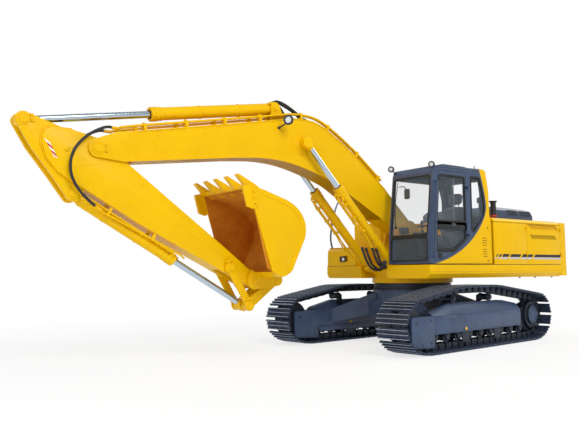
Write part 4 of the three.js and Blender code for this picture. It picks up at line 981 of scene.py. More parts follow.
def makeArmHoses():
    hoses, ends = newMesh(), newMesh()
    for sign in (-1, 1):
        line = mirrored([(5.9, 0.13, 3.262), (6.03, 0.15, 3.262), (6.15, 0.19, 3.215), (6.285, 0.225, 3.135),
                         (6.403, 0.238, 3.035), (6.492, 0.24, 2.92), (6.541, 0.238, 2.8),
                         (6.552, 0.232, 2.68), (6.53, 0.224, 2.55), (6.46, 0.212, 2.42), (6.36, 0.196, 2.31),
                         (6.24, 0.172, 2.212), (6.13, 0.14, 2.14)], sign)
        addTube(hoses, smoothPath(line, 6), 0.0195, 14)
        for a, b in ((line[0], line[1]), (line[-1], line[-2])):
            direction = (Vector(b) - Vector(a)).normalized()
            addDisc(ends, Vector(a) - direction * 0.035, direction, 0.026, 0.075, 6, 0.003)
            addDisc(ends, Vector(a) - direction * 0.005, direction, 0.022, 0.085, 16, 0.003)
    finished(hoses, "arm_hoses", "arm", hoseRubber)
    finished(ends, "arm_hose_ends", "arm", yellowEnamel)
    bm = newMesh()
    for sign in (-1, 1):
        line = mirrored([(6.15, 0.136, 2.15), (6.05, 0.122, 2.098), (5.3, 0.122, 1.738), (4.9, 0.122, 1.54),
                         (4.84, 0.09, 1.5)], sign)
        addTube(bm, roundedPath(line, 0.06), 0.0145, 12)
        for x, z in ((6.0, 2.074), (5.35, 1.762)):
            turn = turnAt((x, sign * 0.122, z), -math.atan2(0.362, 0.75), "Y")
            addBox(bm, (-0.018, -0.026, -0.022), (0.018, 0.026, 0.11), 0.004, turn)
    finished(bm, "arm_underside_pipes", "arm", yellowEnamel)


makeArm()
makeArmPatch()
makeArmHoses()
print("arm ready")


def makeRockers():
    outline = barOutline(pins["rocker"], 0.062, pins["link"], 0.056)
    bm = newMesh()
    for sign in (-1, 1):
        addPlate(bm, outline, "y", *facing(sign, 0.1716, 0.2045), 0.006)
        for (x, z), radius in ((pins["rocker"], 0.088), (pins["link"], 0.08)):
            addDisc(bm, (x, sign * 0.1713, z), (0, sign, 0), radius, 0.0337, 40, 0.006)
        for centre in (pins["rocker"], pins["link"]):
            addPinEnd(bm, centre, sign * 0.205, sign, 0.048, (0.03, 0.1))
    addDisc(bm, (pins["rocker"][0], -0.219, pins["rocker"][1]), yAxis, 0.0445, 0.438, 32)
    finished(bm, "rocker_plates", "rocker_links", yellowEnamel, ["rocker_links"])


def barOutline(start, startRadius, end, endRadius, steps=14):
    if startRadius < endRadius:
        return earOutline(start, startRadius, end, endRadius, steps)
    return earOutline(end, endRadius, start, startRadius, steps)


makeRockers()
bucketHalf, bucketPlate = 0.69, 0.03
bucketBack = [(4.12, 2.56), (3.84, 2.5)] + bezier((3.45, 2.38), (3.15, 2.28), (3.01, 2.05), (3.09, 1.8), 16)
bucketBack += [(3.29, 1.4), (3.32, 1.33), (3.375, 1.272), (3.445, 1.235), (3.54, 1.215)]


def makeBucketTrim():
    bm = newMesh()
    for sign in (-1, 1):
        edges = facing(sign, bucketHalf - 0.002, bucketHalf + 0.008)
        addStrip(bm, offsetLine(bucketBack[1:-2], 0.004), 0.075, *edges, 0.003)
        for x, z in ((4.06, 2.47), (4.05, 2.38), (4.02, 2.29)):
            addBolt(bm, (x, sign * (bucketHalf + 0.035), z), (0, sign, 0), 0.042)
    finished(bm, "bucket_side_trim", "bucket", yellowEnamel)


def makeBucketLiner():
    # the inside of the bucket, rubbed by soil and coloured darker as painted shade
    inner = [(3.55, 1.254)] + [(3.472, 1.268), (3.41, 1.302), (3.362, 1.352), (3.328, 1.424), (3.128, 1.818)]
    inner += bezier((3.128, 1.818), (3.064, 2.04), (3.203, 2.256), (3.466, 2.342),
                    14)[1:] + [(3.85, 2.462), (4.08, 2.512)]
    bm = newMesh()
    reach = bucketHalf - bucketPlate
    addPlate(bm, inner + offsetLine(inner, -0.003)[::-1], "y", -reach + 0.001, reach - 0.001)
    side = inner + [(4.08, 2.5), (3.77, 1.345)]
    for sign in (-1, 1):
        addPlate(bm, side, "y", *facing(sign, reach - 0.001, reach - 0.003))
    finished(bm, "bucket_inside", "bucket", soilAndShadeYellow)


# a darker ochre: soil wear, with painted shade for the bucket's hollow
soilAndShadeYellow = paintedSteel("yellow enamel rubbed by soil and darkened as painted shade",
                          {**yellowFinish, "colour": "#D9932F", "shade": "#BE6E1C", "dust": "#A05C22",
                           "dirt": 0.55, "patch": 420, "grime": 60, "coat": 0.0, "rough": (0.45, 0.6)})
usualSlots[soilAndShadeYellow] = "yellow_paint"
makeBucketTrim()
makeBucketLiner()
print("bucket ready")


def makeCylinderPipes():
    # two steel pipes along the front of each boom cylinder, clamped to the barrel
    foot, eyeEnd = (Vector((x, 0, z)) for x, z in (pins["boomCylinderFoot"], pins["boomCylinderRod"]))
    along = (eyeEnd - foot).normalized()
    out = Vector((along.z, 0, -along.x))
    for side, sign in (("left", 1), ("right", -1)):
        bm = newMesh()
        for inset, top in ((0.372, 1.66), (0.322, 1.74)):
            line = [(0.64, 0.176), (0.78, 0.16), (0.9, 0.134), (top - 0.06, 0.134), (top, 0.128),
                    (top + 0.012, 0.08)]
            points = [foot + along * t + out * v + Vector((0, sign * inset, 0)) for t, v in line]
            addTube(bm, roundedPath(points, 0.05), 0.0125, 12)
            addDisc(bm, points[0] - along * 0.03, along, 0.02, 0.05, 6, 0.002)
            addDisc(bm, points[-1] - out * 0.01, out, 0.026, 0.04, 16, 0.003)
        for t in (0.98, 1.27, 1.56):
            centre = foot + along * t + Vector((0, sign * 0.347, 0))
            turn = Matrix(((out.x, 0, along.x), (0, 1, 0), (out.z, 0, along.z))).to_4x4()
            addBox(bm, (0.086, -0.05, -0.014), (0.152, 0.05, 0.014), 0.004, Matrix.Translation(centre) @ turn)
        finished(bm, f"boom_cylinder_pipes_{side}", f"boom_cylinder_{side}", yellowEnamel)


makeCylinderPipes()

cabFace = 1.345  # the cab's left side


def rounded(points, radius=0.04, steps=5):
    # the closed outline with its corners rounded
    result = []
    count = len(points)
    for i in range(count):
        before, corner, after = (Vector((*points[(i + k) % count], 0)) for k in (-1, 0, 1))
        a, b = before - corner, after - corner
        reach = min(radius, a.length * 0.45, b.length * 0.45)
        start, end = corner + a.normalized() * reach, corner + b.normalized() * reach
        for k in range(steps + 1):
            t = k / steps
            p = start * (1 - t) ** 2 + corner * 2 * t * (1 - t) + end * t * t
            result.append((p.x, p.y))
    return result


def addFrame(bm, outline, width, axis, low, high):
    # a ring that follows a closed outline, that far inwards from it
    count = len(outline)
    area = sum(outline[i][0] * outline[(i + 1) % count][1] - outline[(i + 1) % count][0] * outline[i][1]
               for i in range(count))
    hand = 1 if area > 0 else -1
    inner = []
    for i in range(count):
        (ax, az), (bx, bz) = outline[i - 1], outline[(i + 1) % count]
        length = math.hypot(bx - ax, bz - az) or 1
        inner.append((outline[i][0] - (bz - az) / length * width * hand,
                      outline[i][1] + (bx - ax) / length * width * hand))
    place = axisFrames[axis]
    corners = ((outline, low), (outline, high), (inner, high), (inner, low))
    rings = [[bm.verts.new(place(u, v, w)) for u, v in line] for line, w in corners]
    bmesh.ops.recalc_face_normals(bm, faces=openSkin(bm, rings, True))


doorUpper = [(0.831, 2.115), (0.75, 2.92), (0.07, 2.92), (0.07, 2.115)]
doorBlack = [(0.872, 1.602), (0.864, 2.118), (0.058, 2.118), (0.058, 1.835), (0.155, 1.76),
             (0.29, 1.675), (0.42, 1.602)]
quarterOuter = [(-0.07, 2.0), (-0.072, 2.945), (-0.345, 2.945), (-0.4, 2.78), (-0.455, 2.6), (-0.47, 2.43),
                (-0.462, 2.31), (-0.38, 2.19), (-0.155, 1.955), (-0.11, 1.95)]


def makeDoorTrim():
    bm = newMesh()
    low, high = cabFace - 0.001, cabFace + 0.004
    addFrame(bm, rounded(doorUpper, 0.06), 0.024, "y", cabFace - 0.02, high + 0.002)
    addPlate(bm, rounded([(0.866, 1.985), (0.862, 2.136), (0.058, 2.136), (0.058, 1.985)], 0.015),
             "y", low, high, 0.002)
    addFrame(bm, rounded(doorBlack, 0.05), 0.048, "y", low - 0.01, high)
    addBox(bm, (0.715, low, 1.5), (0.815, high, 1.59), 0.004)
    finished(bm, "door_window_seals", "cab_door", sealRubber)
    bm = newMesh()
    addHollow(bm, (0.416, cabFace + 0.003, 2.075), yAxis, 0.034, 0.024, 0.007, 32)
    addBox(bm, (0.36, cabFace + 0.003, 2.062), (0.405, cabFace + 0.02, 2.088), 0.006)
    addBox(bm, (0.335, cabFace - 0.032, 2.132), (0.351, cabFace - 0.0255, 2.903), 0.001)
    finished(bm, "door_handle", "cab_door", greyPlastic)
    bm = newMesh()
    addTube(bm,
            roundedPath([(0.67, 1.3, 1.98), (0.67, 1.262, 1.98), (0.625, 1.262, 2.13), (0.625, 1.3, 2.13)],
                        0.03), 0.01, 10)
    addBox(bm, (0.1, 1.272, 1.98), (0.83, 1.31, 2.135), 0.01)
    finished(bm, "door_inner_panel", "cab_door", cabPlastic)


def makeCabSeals():
    bm = newMesh()
    addFrame(bm, rounded(quarterOuter, 0.05), 0.034, "y", cabFace - 0.022, cabFace + 0.004)
    right = [(0.96, 1.875), (0.842, 2.915), (-0.345, 2.915), (-0.445, 2.605), (-0.445, 1.935)]
    addFrame(bm, rounded(right, 0.06), 0.03, "y", 0.411, 0.437)
    finished(bm, "side_window_seals", "upper_structure", sealRubber)
    bm = newMesh()
    for zLow, zHigh in ((1.885, 2.905), (1.45, 1.855)):
        place = turnAt((screenAt(zLow), 0, zLow),
                       math.atan2(screenAt(zHigh) - screenAt(zLow), zHigh - zLow), "Y")
        reach = math.hypot(zHigh - zLow, screenAt(zHigh) - screenAt(zLow))
        outline = rounded(oblong(0.452, 0, 1.298, reach), 0.07)
        start = len(bm.verts)
        addFrame(bm, outline, 0.02, "x", -0.018, 0.004)
        bm.verts.ensure_lookup_table()
        bmesh.ops.transform(bm, matrix=place, verts=bm.verts[start:])
    addBox(bm, (screenAt(1.87) - 0.045, 0.458, 1.844), (screenAt(1.87) + 0.003, 1.292, 1.894), 0.01)
    reveal = [(-0.591, 2.28), (-0.582, 2.7), (-0.543, 2.9), (-0.484, 2.9), (-0.523, 2.695), (-0.534, 2.28)]
    for y in ((0.5655, 0.573), (1.187, 1.1945)):
        addPlate(bm, reveal, "y", *y)
    addPlate(bm, [(-0.543, 2.8995), (-0.484, 2.8995), (-0.486, 2.892), (-0.545, 2.892)], "y", 0.573, 1.187)
    addPlate(bm, oblong(-0.591, 2.2805, -0.534, 2.288), "y", 0.573, 1.187)
    finished(bm, "windscreen_seals", "upper_structure", sealRubber)


def screenAt(z):
    # how far forward the cab's front face lies at that height
    return 1.012 - (z - 1.412) * 0.0151 if z < 1.875 else 1.005 - (z - 1.875) * 0.1152


def makeWiper():
    bm = newMesh()
    out = 0.02
    foot, elbow = Vector((screenAt(2.04) + out, 0.58, 2.04)), Vector((screenAt(2.56) + out, 0.545, 2.56))
    addDisc(bm, foot - Vector((0.02, 0, 0)), (1, 0, 0.18), 0.024, 0.026, 18)
    addTube(bm, [foot, (foot + elbow) / 2 + Vector((0.012, 0, 0)), elbow], [0.009, 0.007, 0.005], 8)
    low, high = Vector((screenAt(2.22) + 0.008, 0.522, 2.22)), Vector((screenAt(2.84) + 0.008, 0.56, 2.84))
    addTube(bm, [low, (low + high) / 2 + Vector((0.01, 0, 0)), high], 0.006, 8)
    finished(bm, "windscreen_wiper", "upper_structure", blackEnamel)


def makeCabRails():
    bm = newMesh()
    front = [(0.88, 1.346, 2.79), (0.892, 1.392, 2.78), (0.94, 1.398, 2.3), (1.0, 1.394, 1.56),
             (0.93, 1.346, 1.52)]
    front = [(screenAt(z) - 0.075, y, z) for x, y, z in front]
    addTube(bm, roundedPath(front, 0.05), 0.015, 14)
    for x, y, z in (front[0], front[-1]):
        addDisc(bm, (x, 1.343, z), yAxis, 0.03, 0.01, 20)
    finished(bm, "door_grab_rail", "upper_structure", slateEnamel)


def makeRoof():
    bm = newMesh()
    lid = rounded([(0.4, 0.61), (0.4, 1.15), (-0.235, 1.15), (-0.235, 0.61)], 0.06)
    addPlate(bm, lid, "z", 3.124, 3.14, 0.006)
    for x in (0.3, 0.08, -0.14):
        addBox(bm, (x - 0.03, 0.68, 3.138), (x + 0.03, 1.08, 3.146), 0.003)
    for y in (0.7, 1.06):
        addDisc(bm, (-0.245, y - 0.03, 3.128), yAxis, 0.012, 0.06, 12)
    addTurned(bm, [(0, 0), (0, 0.032), (0.012, 0.03), (0.02, 0.012), (0.09, 0.008), (0.095, 0)],
              (0.07, 0.5, 3.07), zAxis, 16)
    addTurned(bm, [(0, 0), (0, 0.03), (0.012, 0.028), (0.018, 0.011), (0.12, 0.007), (0.125, 0)],
              (-0.46, 1.15, 3.062), zAxis, 16)
    gutter = [(screenAt(2.985) - 0.05, 2.985), (0.8, 3.038), (-0.3, 3.064)]
    addTube(bm, [(x, 1.347, z) for x, z in gutter], 0.008, 8)
    finished(bm, "roof_hatch", "upper_structure", slateEnamel)


def makeCabInside():
    bm = newMesh()
    addBox(bm, (-0.4, 0.45, 1.448), (0.8, 1.3, 1.462), 0.004)
    addPlate(bm, rounded([(-0.545, 1.47), (-0.38, 1.47), (-0.36, 2.06), (-0.43, 2.12), (-0.545, 2.12)], 0.03),
             "y", 0.47, 1.25, 0.006)
    wall = [(-0.575, 1.462), (-0.575, 2.165), (-0.533, 2.237), (-0.523, 2.695), (-0.461, 3.018)]
    strip = wall + [(x - 0.008, z) for x, z in wall[::-1]]
    for y in ((0.462, 0.562), (1.198, 1.298)):
        addPlate(bm, strip, "y", *y)
    low = [(-0.575, 1.462), (-0.575, 2.165), (-0.533, 2.237), (-0.532, 2.276)]
    addPlate(bm, low + [(x - 0.008, z) for x, z in low[::-1]], "y", 0.56, 1.2)
    addPlate(bm, [(-0.484, 2.904), (-0.461, 3.018), (-0.469, 3.018), (-0.492, 2.904)], "y", 0.56, 1.2)
    rightWall = [(0.88, 1.462), (0.88, 1.868), (-0.456, 1.925), (-0.456, 2.61), (-0.356, 2.922),
                 (-0.3, 2.93), (-0.3, 3.03)]
    addPlate(bm, rightWall + wall[::-1], "y", 0.462, 0.47)
    addPlate(bm,
             [(-0.58, 1.462), (0.03, 1.462), (0.03, 1.79), (-0.1, 1.945), (-0.15, 1.95), (-0.452, 2.325),
              (-0.452, 2.605), (-0.345, 2.93), (-0.072, 2.93), (-0.072, 3.02), (-0.58, 3.02)],
              "y", 1.288, 1.297)
    addPlate(bm,
             [(0.8, 2.985), (-0.41, 3.035), (-0.462, 3.016), (-0.462, 3.008), (-0.41, 3.027), (0.8, 2.977)],
             "y", 0.465, 1.296)
    finished(bm, "cab_linings", "upper_structure", cabPlastic)
    bm = newMesh()
    for y in (0.62, 1.18):
        addPlate(bm,
                 rounded([(-0.15, 1.7), (0.33, 1.72), (0.46, 1.88), (0.44, 1.96), (0.33, 1.985), (0.0, 1.93),
                          (-0.15, 1.9)], 0.04), "y", y - 0.065, y + 0.065, 0.014)
        addTube(bm, [(0.37, y, 1.96), (0.38, y, 2.04), (0.372, y, 2.11)], [0.012, 0.014, 0.01], 12)
        addTurned(bm, [(0, 0), (0.0, 0.018), (0.03, 0.028), (0.1, 0.024), (0.13, 0.014), (0.135, 0)],
                  (0.376, y, 2.06), (0.05, 0, 1), 20)
        addTurned(bm, [(0, 0), (0, 0.035), (0.02, 0.04), (0.05, 0.022), (0.06, 0)],
                  (0.374, y, 1.97), zAxis, 18)
    addBox(bm, (0.56, 0.5, 1.462), (0.72, 0.74, 1.5), 0.01)
    for y in (0.82, 0.96):
        addTube(bm, [(0.64, y, 1.462), (0.665, y, 1.64), (0.63, y, 1.8)], 0.011, 10)
        addPlate(bm, [(0.6, 1.5), (0.74, 1.556), (0.732, 1.576), (0.592, 1.52)], "y",
                 y - 0.05, y + 0.05, 0.004)
        addDisc(bm, (0.628, y - 0.022, 1.812), yAxis, 0.02, 0.044, 14)
    finished(bm, "operator_controls", "upper_structure", cabPlastic)
    bm = newMesh()
    turn = turnAt((0.74, 0.52, 2.0), 0.5, "Z") @ Matrix.Rotation(0.25, 4, "Y")
    addBox(bm, (-0.025, -0.085, -0.06), (0.02, 0.085, 0.06), 0.012, turn)
    addTube(bm, [(0.74, 0.51, 1.96), (0.75, 0.48, 1.88), (0.75, 0.462, 1.7)], 0.014, 10)
    finished(bm, "monitor_case", "upper_structure", cabPlastic)
    bm = newMesh()
    addBox(bm, (-0.029, -0.07, -0.045), (-0.0255, 0.07, 0.048), 0.002, turn)
    finished(bm, "monitor_screen", "upper_structure", litScreen)
    bm = newMesh()
    addTube(bm, roundedPath([(0.76, 0.452, 2.78), (0.7, 0.52, 2.79), (0.7, 0.56, 2.72)], 0.03), 0.008, 8)
    addPlate(bm, rounded(oblong(0.52, 2.56, 0.64, 2.74), 0.03), "x", 0.69, 0.712, 0.006)
    addTube(bm,
            roundedPath([(0.3, 1.3, 2.84), (0.3, 1.255, 2.83), (0.55, 1.255, 2.7), (0.55, 1.2, 2.7)], 0.03),
            0.009, 8)
    finished(bm, "cab_mirror", "upper_structure", blackEnamel)


def makeSeatCushions():
    middle = 0.9
    cushions = {
        "seat_base": ([(-0.12, 1.745), (0.335, 1.77), (0.372, 1.83), (0.34, 1.892), (0.1, 1.874),
                       (-0.06, 1.88), (-0.13, 1.83)], 0.245, 0.7),
        "seat_back": ([(-0.075, 1.835), (-0.135, 1.83), (-0.262, 2.38), (-0.225, 2.44), (-0.15, 2.44),
                       (-0.11, 2.38), (-0.06, 2.12), (-0.006, 1.9)], 0.235, 0.6),
        "seat_headrest": ([(-0.25, 2.48), (-0.285, 2.64), (-0.255, 2.68), (-0.195, 2.675), (-0.165, 2.64),
                           (-0.16, 2.5), (-0.195, 2.47)], 0.13, 0.7),
    }
    for name, (outline, half, fill) in cushions.items():
        bm = newMesh()
        line = rounded(outline, 0.045, 4)
        rows = 12
        rings = []
        cx = sum(p[0] for p in line) / len(line)
        cz = sum(p[1] for p in line) / len(line)
        for i in range(rows + 1):
            t = -1 + 2 * i / rows
            shrink = (1 - abs(t) ** 5 * 0.34) * (1 + 0.035 * math.cos(t * math.pi * 2.5) * (1 - abs(t)))
            rings.append([bm.verts.new((cx + (x - cx) * shrink, middle + half * t, cz + (z - cz) * shrink))
                          for x, z in line])
        closedSkin(bm, rings)
        piece = finished(bm, name, "upper_structure", seatCloth,
                         ["operator_seat"] if name == "seat_base" else (), smoothAngle=60)
    bm = newMesh()
    addTurned(bm,
              [(0, 0), (0, 0.18), (0.02, 0.175), (0.04, 0.12), (0.1, 0.105), (0.18, 0.105), (0.2, 0.16),
               (0.24, 0.17), (0.24, 0)], (0.06, middle, 1.462), zAxis, 28)
    addPlate(bm, rounded([(-0.125, 1.69), (0.3, 1.69), (0.33, 1.765), (-0.115, 1.742)], 0.02), "y",
             middle - 0.225, middle + 0.225, 0.008)
    addPlate(bm, rounded([(-0.14, 1.7), (-0.27, 2.4), (-0.238, 2.4), (-0.11, 1.74)], 0.015), "y",
             middle - 0.215, middle + 0.215, 0.008)
    for y in (middle - 0.06, middle + 0.06):
        addTube(bm, [(-0.235, y, 2.38), (-0.222, y, 2.52)], 0.008, 8)
    finished(bm, "seat_frame", "upper_structure", cabPlastic)


def litMaterial(name, code, strength):
    # a screen or a lamp that gives a little light of its own
    material, tree, shader, place = startMaterial(name)
    tone = mixColours(tree, addNoise(tree, place, 30), linear(code[0]), linear(code[1]))
    fill(tree, shader,
         {"Base Color": tone, "Emission Color": tone, "Emission Strength": strength, "Roughness": 0.2})
    return material


litScreen = litMaterial("lit monitor glass", ("#2E7FD0", "#8CC8F2"), 0.8)
usualSlots[litScreen] = "marking_film"
makeDoorTrim()
makeCabSeals()
makeWiper()
makeCabRails()
makeRoof()
makeCabInside()
makeSeatCushions()
makeLamp("roof_lamp_right", "upper_structure", (0.94, 0.44, 3.086), (0.92, 0.38, -0.05), 0.056,
         (0.85, 0.44, 3.01))
makeLamp("roof_lamp_left", "upper_structure", (0.838, 1.278, 3.075), (0.92, 0.38, -0.05), 0.056,
         (0.81, 1.25, 3.04))
print("cab ready")

bodyHalf = 1.372


def makeDecals():
    # a row of slanted black bars, longer towards the rear, over one silver line, cut where the doors meet
    low, high = 1.536, 1.588
    bars = [(-0.69, -0.722), (-0.775, -0.828), (-0.868, -1.06), (-1.108, -1.415), (-1.47, -1.646),
            (-1.672, -1.8), (-1.86, -2.755)]
    lean = 0.058
    for side, sign in (("left", 1), ("right", -1)):
        groups = {}
        for front, rear in bars:
            body = f"{side}_{'front' if front > -1.655 else 'rear'}_door"
            if side == "right" and front > -1.5:
                continue
            body = body if side == "left" else "right_rear_door"
            groups.setdefault(body, []).append((front, rear))
        for body, members in groups.items():
            black, silver = newMesh(), newMesh()
            for front, rear in members:
                tail = rear if rear < -2.5 or rear == -1.646 else rear - lean
                start = front if front == -1.672 else front - lean
                corners = [(front, low), (rear, low), (tail, high), (start, high)]
                place = facing(sign, bodyHalf + 0.0004, bodyHalf + 0.0014)
                addPlate(black, corners, "y", *place)
                below = [(front + 0.026, low - 0.036),
                         (rear + 0.026 if rear > -1.6 or rear < -1.7 and rear > -2.5 else rear, low - 0.036),
                         (rear, low - 0.006), (front, low - 0.006)]
                addPlate(silver, below, "y", *place)
            finished(black, f"{body}_black_bars", body, stripeBlack)
            finished(silver, f"{body}_silver_line", body, stripeSilver)


def makeDoors():
    # flat pressed side doors; their hinges are hidden behind the skin
    doors = {"left_front_door": (-1.656, -0.664, 1), "left_rear_door": (-2.768, -1.664, 1),
             "right_rear_door": (-2.768, -1.51, -1)}
    for body, (rear, front, sign) in doors.items():
        bm = newMesh()
        outline = oblong(rear, 1.402, front, 2.16)
        addPlate(bm, outline, "y", *facing(sign, bodyHalf - 0.03, bodyHalf), 0.006)
        for low, high in ((1.44, 1.47), (2.08, 2.11)):
            y = facing(sign, bodyHalf - 0.06, bodyHalf - 0.029)
            addBox(bm, (rear + 0.03, y[0], low), (front - 0.03, y[1], high), 0.003)
        finished(bm, body + "_panel", body, yellowEnamel, [body])


def makeSideTrim():
    # a pressed recess under the top cover, a row of slanted slots and a blank plate on each rear door; the
    # recess, its top and rear edges and the slots are darker yellow as painted shade
    for side, sign in (("left", 1), ("right", -1)):
        def skin(low, high):
            return facing(sign, bodyHalf + low, bodyHalf + high)

        body = f"{side}_rear_door"
        dark, shade, lit = newMesh(), newMesh(), newMesh()
        # the recess fill: yellow darkened as painted shade
        addPlate(shade, [(-1.69, 2.152), (-2.59, 2.15), (-2.712, 2.066), (-1.808, 2.07)], "y",
                 *skin(0.0004, 0.0014))
        # dark strips along the recess's top and rear edges: painted shadow
        addPlate(dark, [(-1.69, 2.152), (-2.59, 2.15), (-2.604, 2.14), (-1.702, 2.141)], "y",
                 *skin(0.0012, 0.0026))
        addPlate(dark, [(-2.59, 2.15), (-2.712, 2.066), (-2.7, 2.064), (-2.582, 2.142)], "y",
                 *skin(0.0012, 0.0026))
        addPlate(lit, [(-1.8, 2.074), (-2.706, 2.07), (-2.716, 2.06), (-1.806, 2.062)], "y",
                 *skin(-0.001, 0.005), 0.001)
        addPlate(lit, [(-2.596, 2.152), (-2.622, 2.152), (-2.716, 2.092), (-2.716, 2.066)], "y",
                 *skin(-0.001, 0.006), 0.001)
        for i in range(11):
            x = -1.765 - i * 0.0765
            slot = rounded([(x, 1.962), (x - 0.034, 1.962), (x - 0.106, 1.882), (x - 0.072, 1.882)], 0.012, 3)
            # each slot is a dark sheet: painted shade in the opening
            addPlate(dark, slot, "y", *skin(0.0004, 0.0018))
            addPlate(lit, [(x - 0.037, 1.966), (x - 0.045, 1.966), (x - 0.117, 1.878), (x - 0.109, 1.878)],
                     "y", *skin(-0.001, 0.005), 0.001)
        plate = rounded(oblong(-1.755, 1.806, -1.868, 1.728), 0.012)
        addFrame(lit, plate, 0.007, "y", *skin(-0.001, 0.003))
        finished(dark, f"{side}_vent_slots", body, ventShadow)
        finished(shade, f"{side}_vent_recess", body, recessShadePaint)
        finished(lit, f"{side}_vent_ribs", body, yellowEnamel)


def makeCabPanelTrim():
    # behind the cab's curve: two locks, a block of pressed louvres and the service panel's seam; a dark strip
    # under each louvre is a painted shadow and black discs in the locks are painted shade in their holes
    face, locks = cabFace, ((-0.523, 2.05), (-0.512, 1.462))
    bm = newMesh()
    for x, z in locks:
        addHollow(bm, (x, face, z), yAxis, 0.03, 0.017, 0.006, 28)
    for x, z in ((-0.009, 1.527), (-0.017, 1.64)):
        addDisc(bm, (x, face, z), yAxis, 0.014, 0.006, 16, 0.003)
    slots = newMesh()
    for i in range(8):
        z = 1.545 + i * 0.042 + (0.03 if i > 3 else 0)
        louvre = rounded(oblong(-0.495, z, -0.37, z + 0.02), 0.008, 2)
        addPlate(bm, louvre, "y", face - 0.001, face + 0.009, 0.003)
        # a dark strip under each louvre: painted shadow
        addPlate(slots, rounded(oblong(-0.492, z - 0.01, -0.373, z), 0.004, 2), "y", face, face + 0.001)
    finished(slots, "rear_panel_louvre_shadows", "upper_structure", ventShadow)
    addBead(bm, [(-0.01, face, 1.43), (-0.01, face, 1.5)], 0.002)
    addBead(bm, seamLine([(-0.605, 1.44), (-0.605, 2.06), (-0.56, 2.14)], face, 0.03), 0.003)
    finished(bm, "rear_panel_trim", "upper_structure", yellowEnamel)
    bm = newMesh()
    # black discs in the lock rings: painted shade in the holes
    for x, z in locks:
        addDisc(bm, (x, face + 0.0005, z), yAxis, 0.016, 0.003, 18, 0.001)
    finished(bm, "rear_panel_lock_hole_shade", "upper_structure", blackEnamel)


def makeDeckTrim():
    # a dark strip of painted shade in the gap under the panels, a bright fold along the skirt and the bolts
    # below it
    dark = newMesh()
    # thin black strips along the gap under the panels: painted shade
    for sign in (-1, 1):
        front = 1.05 if sign > 0 else 0.915
        y = facing(sign, 1.335, 1.3735)
        addBox(dark, (-2.76, y[0], 1.3945), (front, y[1], 1.4005), 0.0005)
    addBox(dark, (0.88, -1.36, 1.3945), (0.9215, -0.56, 1.4005), 0.0005)
    for x in (-2.54, -1.98, -1.49):
        for sign in (-1, 1):
            addDisc(dark, (x, sign * 1.3, 1.172), (0, 0, -1), 0.016, 0.022, 14, 0.003)
    finished(dark, "deck_gap_shade", "upper_structure", sealRubber, slotName="hose_rubber")
    bm = newMesh()
    for sign in (-1, 1):
        front = 1.052 if sign > 0 else 0.914
        line = [(-2.765, sign * 1.3725, 1.285), (front, sign * 1.3725, 1.285)]
        addTube(bm, line, 0.006, 6)
        for x in (0.86, -1.44):
            addBolt(bm, (x, sign * 1.3715, 1.345), (0, sign, 0), 0.018)
    finished(bm, "skirt_fold", "upper_structure", yellowEnamel)


def makeHoodTrim():
    # pressed air slots in two rows and two groups on each side of the engine hood, drawn as black sheets of
    # painted shade
    bm, ribs = newMesh(), newMesh()
    for sign in (-1, 1):
        y = facing(sign, 0.8592, 0.864)
        for start in (-1.775, -2.2):
            for row, z in enumerate((2.424, 2.366)):
                for i in range(6):
                    x = start - i * 0.058 - row * 0.034
                    slot = rounded([(x, z + 0.044), (x - 0.034, z + 0.044), (x - 0.062, z), (x - 0.028, z)],
                                   0.01, 3)
                    # each slot is a black sheet: painted shade in the opening
                    addPlate(bm, slot, "y", *y)
        addBox(ribs, (-2.56, sign * 0.52 - 0.04, 2.496), (-1.42, sign * 0.52 + 0.04, 2.503), 0.003)
        addTube(ribs,
                roundedPath(mirrored([(-2.7, 0.2, 2.33), (-2.708, 0.2, 2.33), (-2.708, 0.12, 2.33),
                                      (-2.69, 0.12, 2.33)], sign), 0.01), 0.008, 8)
    finished(bm, "hood_slot_shade", "engine_hood", blackEnamel)
    finished(ribs, "hood_ribs", "engine_hood", slateEnamel)


def makeExhaust():
    bm = newMesh()
    base = 2.241
    profile = [(0.0, 0), (0.0, 0.095), (0.012, 0.095), (0.018, 0.058), (0.03, 0.056), (0.215, 0.053),
               (0.3, 0.05), (0.325, 0.056), (0.345, 0.074), (0.358, 0.077), (0.358, 0.07), (0.335, 0.046),
               (0.12, 0.042), (0.12, 0)]
    addTurned(bm, profile, (-1.2, 0.985, base), zAxis, 36)
    for turn in range(6):
        a = math.pi * turn / 3
        addBolt(bm, (-1.2 + 0.08 * math.cos(a), 0.985 + 0.08 * math.sin(a), base + 0.012), zAxis, 0.016)
    finished(bm, "exhaust_pipe", "upper_structure", blackEnamel, ["exhaust_stack"])
    bm = newMesh()
    addHollow(bm, (-1.2, 0.985, base + 0.056), zAxis, 0.059, 0.054, 0.034, 36)
    finished(bm, "exhaust_band", "upper_structure", markRed)
    bm = newMesh()
    stem = [(0.0, 0), (0.0, 0.07), (0.01, 0.07), (0.014, 0.046), (0.315, 0.044), (0.318, 0.06), (0.33, 0.074),
            (0.352, 0.075), (0.358, 0.07), (0.372, 0.07), (0.378, 0.075), (0.405, 0.075), (0.422, 0.066),
            (0.43, 0.04), (0.43, 0)]
    addTurned(bm, stem, (-1.01, 0.85, base), zAxis, 32)
    for turn in range(10):
        a = math.pi * turn / 5
        addBox(bm, (-0.012, 0.0715, 0.357), (0.012, 0.0765, 0.373), 0.001,
               turnAt((-1.01, 0.85, base), a, "Z"))
    finished(bm, "precleaner_pipe", "upper_structure", slateEnamel, ["air_intake"])


